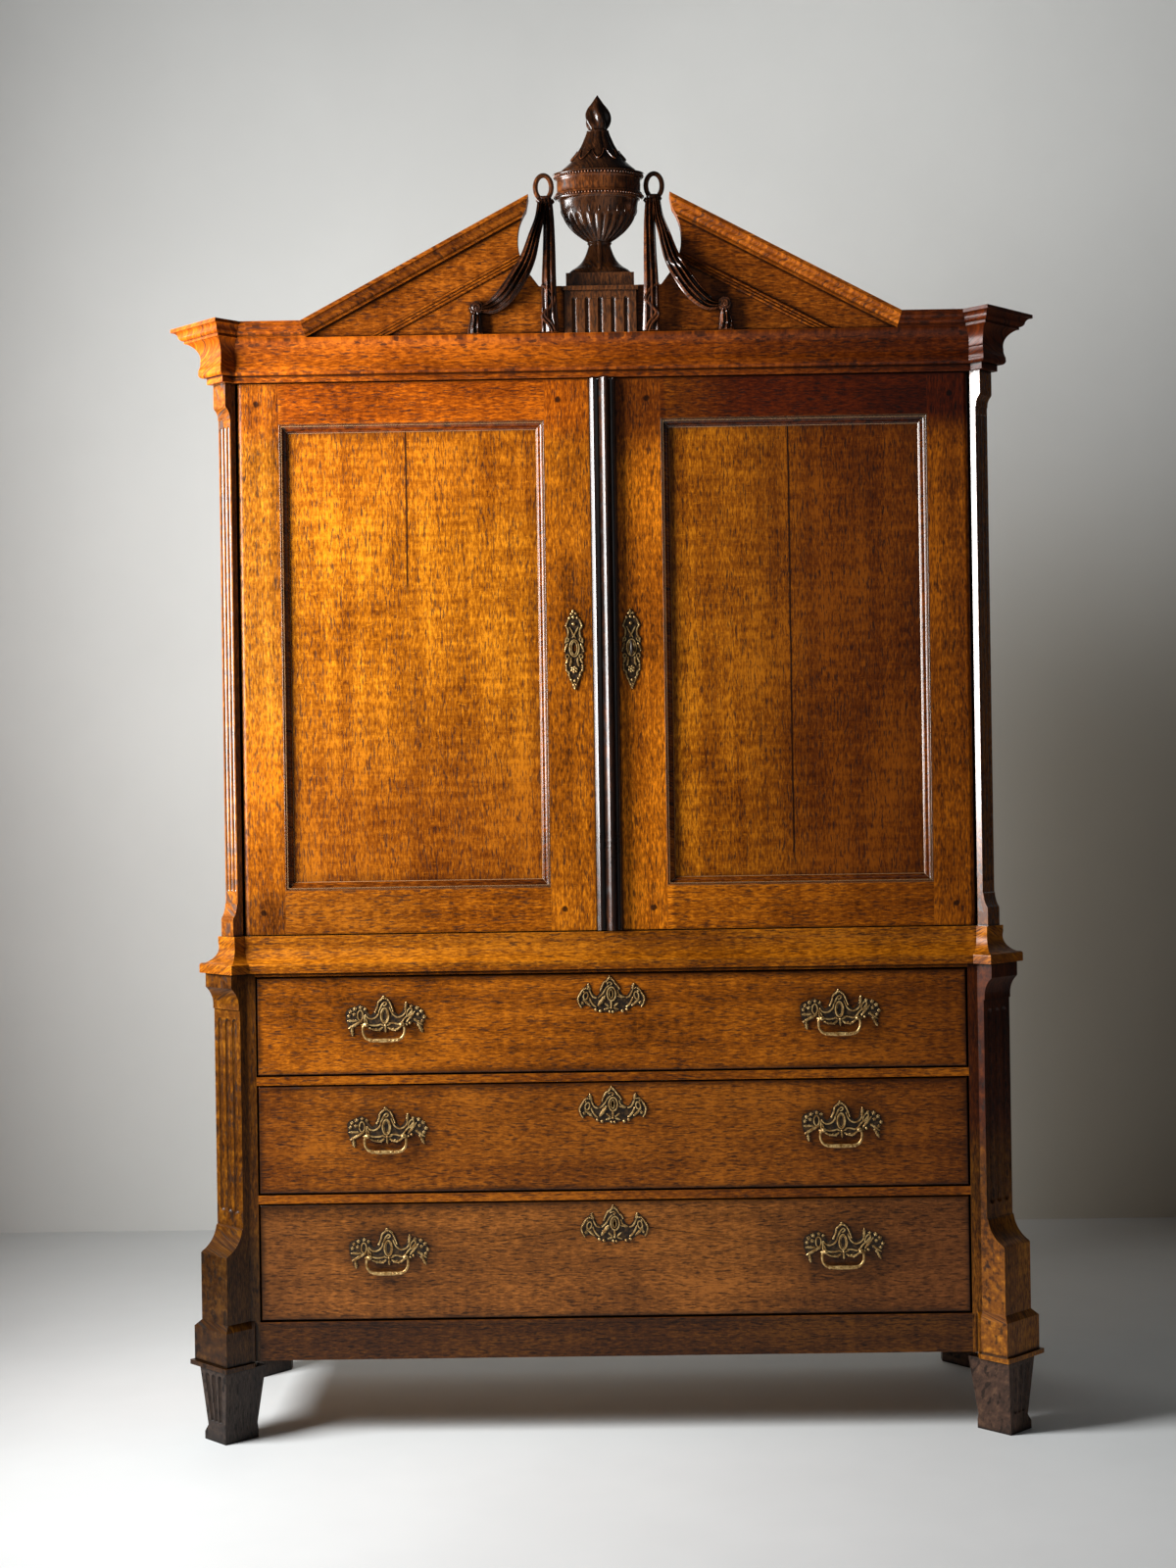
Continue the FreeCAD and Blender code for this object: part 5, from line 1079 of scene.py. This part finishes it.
GADROONS = 24
FLUTE_START, FLUTE_END = 72, 128     # heights on the bowl
FLUTE_DEPTH = 6.0
LID_LEAVES = 10
LEAF_START, LEAF_END = 14, 84        # heights on the lid
FLAME_START, FLAME_HEIGHT = 89, 70
BOWL_HEIGHT = 205
RING_OUT, RING_RISE = 110, 182       # centres of the ring handles, from the axis and the foot of the bowl
RING_OVER_LEDGE = 269                # lowest inner point of the rings
BOWL_PROFILE = [
    (0, 0), (60, 0.2), (63, 1), (63, 7.5), (58, 14), (47, 21), (37, 30), (29, 43), (23.5, 58), (22, 64),
    (24.5, 68), (24, 71), (37, 80), (53, 93), (65, 108), (71, 120), (75.5, 134), (78, 150), (81, 154),
    (86.3, 156), (86.3, 166.5), (83.6, 169), (83.4, 181), (83.6, 193), (86.3, 195), (86.3, 204),
    (85, BOWL_HEIGHT), (0, BOWL_HEIGHT)]
LID_PROFILE = [
    (0, 0.1), (75, 0.1), (75.5, 3), (74, 8), (66, 15), (54, 26), (42, 40), (32, 55), (25.5, 69), (20.5, 81),
    (20, 84), (22, 85.5), (22, 87), (18.5, 89), (18, 91), (21, 98), (22.4, 108), (21.5, 120), (17.5, 132),
    (11, 143), (5, 152), (1.6, 157), (0, 159)]
LID_SLOPE = LID_PROFILE[3:10]


def bowl_shape(angle, height, radius):
    """Hollow flutes on the lower bowl."""
    if FLUTE_START < height < FLUTE_END:
        rise = min(1.0, (height - FLUTE_START) / 12) * min(1.0, max(0.0, (FLUTE_END - 4 - height) / 7))
        radius -= (1 - abs(math.cos(angle * GADROONS / 2)) ** 0.9) * FLUTE_DEPTH * rise
    return radius


def lid_shape(angle, height, radius):
    """Hanging leaf tips on the lid and twisting flames above its collar."""
    if LEAF_START < height < LEAF_END:
        tip = 24 + 13 * abs(math.cos(angle * LID_LEAVES / 2)) ** 0.8
        if height > tip:
            ridge = 0.35 + 0.65 * abs(math.sin(angle * LID_LEAVES / 2)) ** 0.7
            radius += min(4.2, (height - tip) * 0.9) * ridge - 0.8
    elif height > FLAME_START:
        share = (height - FLAME_START) / FLAME_HEIGHT
        swell = math.sin(math.pi * min(1.0, share * 1.15 + 0.08))
        radius *= 1 + 0.22 * math.sin(angle * 5 + share * 5.5) * swell
    return radius


def lid_radius(height):
    """Radius of the sloping part of the lid at a height."""
    for (wide, start), (narrow, end) in zip(LID_SLOPE, LID_SLOPE[1:]):
        if height <= end:
            return wide + (narrow - wide) * (height - start) / (end - start)
    return LID_SLOPE[-1][0]


def make_bowl(body, material):
    """Fluted bowl on its foot, with a drop under each rib, two ring handles and a front rib."""
    body.turn(BOWL_PROFILE, 192, bowl_shape)
    for angle in turns(GADROONS):
        foot, tip = body.at(angle, 71.5, 122), body.at(angle, 75.8, 136)
        middle, along = (foot + tip) / 2, (tip - foot) / 2
        side = along.orthogonal().normalized() * 1.7 * MM
        out = along.cross(side).normalized() * 1.7 * MM
        ball_rings(body.bm, lambda x, y, z: middle + side * x + out * y + along * z)
    axis = body.axis
    for sign in (-1, 1):
        ring = Casting((axis.x + sign * RING_OUT * MM, axis.y, (body.foot + RING_RISE) * MM), body.bm)
        ring.ring(0, 0, 16, 24, 5, 0)
    rib = Casting((axis.x, axis.y, body.foot * MM), body.bm)
    rings = [[rib.vertex(math.cos(angle) * 4.4, rise, radius * body.squeeze + math.sin(angle) * 2.6)
              for angle in turns(10)]
             for rise, radius in ((10, 61), (16, 54), (25, 42), (38, 32), (54, 25), (70, 23.6))]
    bridge(body.bm, rings)
    finish_piece(body.bm, "urn_bowl", material, "case", ("urn_body",))


def make_beading(body, lid, material):
    """Bead rows of the bowl and the rims of the leaves on the lid, in a light material that paints their
    highlights.
    """
    for rise in (160.5, 200.4):
        body.beads(87.6, rise, 84, 2.5)
    size, up = 1.5 * MM, Vector((0, 0, 1))
    for index in range(LID_LEAVES):
        middle = 2 * math.pi * (index + 0.5) / LID_LEAVES
        rings = []
        for step in range(-6, 7):
            share = step / 6
            angle = middle + share * math.pi / LID_LEAVES * 0.86
            height = 26 + 20 * abs(share) ** 1.7
            centre = lid.at(angle, lid_radius(height) + 3.4, height)
            out = (centre - lid.at(angle, 0, height)).normalized()
            rings.append([lid.bm.verts.new(centre + (out * math.cos(turn) + up * math.sin(turn)) * size)
                          for turn in turns(6)])
        bridge(lid.bm, rings)
    finish_piece(lid.bm, "urn_beading", material, "case")


def make_urn(material, highlit_bead_material):
    lowest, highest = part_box("urn_lid")
    axis = Vector(((lowest.x + highest.x) / 2, (lowest.y + highest.y) / 2, 0))
    squeeze = (highest.y - lowest.y) / (highest.x - lowest.x)
    lid_foot = lowest.z / MM
    foot = lid_foot - BOWL_HEIGHT
    plinth = kept_solids("urn_body", lambda _, top: top.z < (foot + 1) * MM)
    make_bowl(Turning(plinth, axis, squeeze, foot), material)
    lid = Turning(bmesh.new(), axis, squeeze, lid_foot)
    lid.turn(LID_PROFILE, 120, lid_shape)
    finish_piece(lid.bm, "urn_cover", material, "case", ("urn_lid",))
    beads = bmesh.new()
    make_beading(Turning(beads, axis, squeeze, foot), Turning(beads, axis, squeeze, lid_foot), highlit_bead_material)


# ---------------------------------------------------------------- drapery
def folded_strip(bm, path, folds, seed, fold_depth):
    """Gathered cloth along (x, y, z, half width, half depth) points, in millimetres."""
    line = smooth_path([point[:3] for point in path], 8)
    sizes = smooth_path([point[3:] for point in path], 8)
    rings = []
    front = Vector((0, -1, 0))
    for index, (point, size) in enumerate(zip(line, sizes)):
        along = direction(line, index).normalized()
        side = along.cross(front).normalized()
        out = side.cross(along).normalized()
        if out.dot(front) < 0:
            out.negate()
        drift = noise.noise(Vector((seed, index * 0.05, 0))) * 0.8
        ring = []
        for angle in turns(48):
            across, rise = math.cos(angle), math.sin(angle)
            ridge = 1 - 2 * abs(math.sin((across * folds + drift + seed) * math.pi / 2)) ** 0.8
            fold = ridge * (1 if rise > 0 else 0.3)
            ring.append(bm.verts.new((point + side * (across * size.x)
                                      + out * (rise * size.y * (1 + fold_depth * fold * 2))) * MM))
        rings.append(ring)
    bridge(bm, rings)


def make_drapery(material):
    """Drapes that hang from the rings, with the cloth knotted on a round boss."""
    face = low("pediment_boards").y / MM
    ledge = low("urn_pedestal").z / MM
    front = low("urn_pedestal").y / MM
    axis_y = (low("urn_lid").y + high("urn_lid").y) / 2 / MM
    ring_bottom = ledge + RING_OVER_LEDGE
    fall = [(104, axis_y + 7, ring_bottom + 12, 6, 4), (103, axis_y - 5, ring_bottom + 6, 10, 5.5),
            (100, axis_y - 22, ledge + 232, 11, 6), (99, front + 8, ledge + 163, 12.5, 6.5),
            (100, front - 4, ledge + 91, 14.5, 7), (99, front - 2, ledge + 1, 17, 7)]
    swag = [(112, axis_y + 7, ring_bottom + 12, 6, 4), (114, axis_y - 6, ring_bottom + 4, 8, 5.5),
            (118, axis_y - 24, ledge + 236, 9.5, 6), (128, front + 10, ledge + 192, 12, 6.5),
            (140, front - 2, ledge + 148, 15.5, 7.5), (158, front - 7, ledge + 112, 18, 8.5),
            (183, front - 8, ledge + 76, 18.5, 8.5), (209, face - 10, ledge + 55, 15, 8),
            (228, face - 9, ledge + 50, 9, 6.5), (238, face - 8, ledge + 52, 6, 5)]
    tail = [(245, face - 9, ledge + 42, 8, 6), (245, face - 8, ledge + 28, 11, 6.5),
            (246, face - 8.5, ledge + 12, 13.5, 7), (246, face - 9, ledge + 0.5, 15, 7.5)]
    for name, sign, seed in (("drapery_left", -1, 1.3), ("drapery_right", 1, 4.1)):
        bm = bmesh.new()
        for path, folds, later, fold_depth in ((fall, 3.0, 0.0, 0.24), (swag, 4.0, 0.7, 0.26),
                                               (tail, 3.0, 1.9, 0.24)):
            folded_strip(bm, [(sign * x, *rest) for x, *rest in path], folds, seed + later, fold_depth)
        knot = Casting((sign * 107 * MM, (axis_y - 3) * MM, (ring_bottom + 4) * MM), bm)
        knot.rod([(-sign * 17, 3, 4), (-sign * 6, -3, 7.5), (sign * 6, -1, 8), (sign * 16, 6, 4)], 1.2)
        knot.rod([(-sign * 12, 10, 3), (-sign * 2, 7, 6), (sign * 9, 9, 4)], 1.2)
        twist = Casting((sign * 101 * MM, (front - 8) * MM, (ledge + 60) * MM), bm)
        wind = [(-14, 32), (4, 20), (12, 2), (2, -12), (-8, -26), (6, -44), (12, -58)]
        twist.tube([(-sign * u, w) for u, w in wind], 4.2, 0.45, 0.5, 0.9)
        twist.tube([(-sign * (u - 5), w - 4) for u, w in wind[1:]], 3.2, 0.45, 1.5, 0.9)
        boss = Casting((sign * 243 * MM, face * MM, (ledge + 52) * MM), bm)
        boss.ball(0, 0, 14.5, 5.5, 0.66)
        boss.ring(0, 0, 10.5, 10.5, 2.6, 11.5)
        boss.tube([(-6, -3), (-3, 5), (4, 5), (6, -2), (1, -5), (-1, 0)], 2.2, 0.5, 14.0)
        finish_piece(bm, name + "_carving", material, "case", (name,))


# ---------------------------------------------------------------- studio
WALL_Y = 1.8
WALL_HEIGHT = 6
HALF_WIDTH = 9.0


def stage_sheet(name, corners, material):
    mesh = bpy.data.meshes.new(name)
    mesh.from_pydata(corners, [], [range(len(corners))])
    mesh.materials.append(material)
    add_object(name, mesh)


def plaster(name, tone, spot, shade=None):
    """Matt paint. shade is for the wall: a painted shadow of the press, dark low on the right; such a wall is
    clear from behind.
    """
    shader = Shader(name)
    cloud = shader.noise(shader.place, 1.6, 4.0, 0.6)
    color = shader.mix(shader.ramp(cloud, 0.3, 0.7), tone, spot)
    if shade is not None:
        x, _, z = shader.xyz()
        # Painted shadow of the press on the wall, to its right and low down.
        region = shader.times(shader.ramp(x, 0.5, 1.4), shader.ramp(z, 1.2, 2.4, 1.0, 0.0))
        color = shader.tinted(color, shade, region)
        shader.clear_from_behind()
    return shader.finish(color, 0.7, Specular_IOR_Level=0.2)


def area(name, place, target, size, power):
    data = bpy.data.lights.new(name, "AREA")
    data.shape = "RECTANGLE"
    data.size, data.size_y = size
    data.energy = power
    obj = add_object(name, data)
    obj.location = place
    obj.rotation_mode = "QUATERNION"
    obj.rotation_quaternion = (Vector(target) - Vector(place)).to_track_quat("-Z", "Y")
    return data


def make_studio():
    floor = plaster("floor_paint", linear(229, 232, 232), linear(234, 237, 237))
    # The wall carries a painted shadow of the press, low on its right.
    wall = plaster("wall_paint", linear(234, 235, 232), linear(238, 239, 236), (0.72, 0.68, 0.6))
    left, right = -HALF_WIDTH, HALF_WIDTH
    stage_sheet("floor", [(left, left, 0), (right, left, 0), (right, WALL_Y, 0), (left, WALL_Y, 0)], floor)
    stage_sheet("wall", [(left, WALL_Y, 0), (right, WALL_Y, 0), (right, WALL_Y, WALL_HEIGHT),
                         (left, WALL_Y, WALL_HEIGHT)], wall)
    area("key", (-1.95, -0.9, 1.95), (-0.95, -0.75, 2.05), (0.9, 1.6), 150)
    area("fill", (1.2, -5.5, 2.6), (0.0, 0.0, 1.2), (3.0, 2.0), 4)
    area("wall_wash", (0.4, -0.9, 3.7), (1.5, WALL_Y, 3.1), (0.8, 0.8), 3).spread = math.radians(70)
    area("back", (0.0, WALL_Y - 0.1, 1.4), (0.0, 0.0, 1.4), (1.0, 1.6), 2.5).spread = math.radians(30)
    world = bpy.data.worlds.new("world")
    bpy.context.scene.world = world
    world.use_nodes = True
    color, strength = world.node_tree.nodes["Background"].inputs[:2]
    color.default_value = (0.9, 0.94, 1.0, 1)
    strength.default_value = 0.03


bpy.context.scene.view_settings.view_transform = "Standard"
make_camera()
make_studio()
woods, metal, patina_and_shade_metal, dark_iron = make_woods(), brass(), patina_and_shade_ground(), iron()
dress_nodes(woods, metal, dark_iron)
make_brasses(metal, patina_and_shade_metal)
make_closing_strip(woods["strip"])
make_urn(woods["urn"], woods["bead"])
make_drapery(woods["drape"])
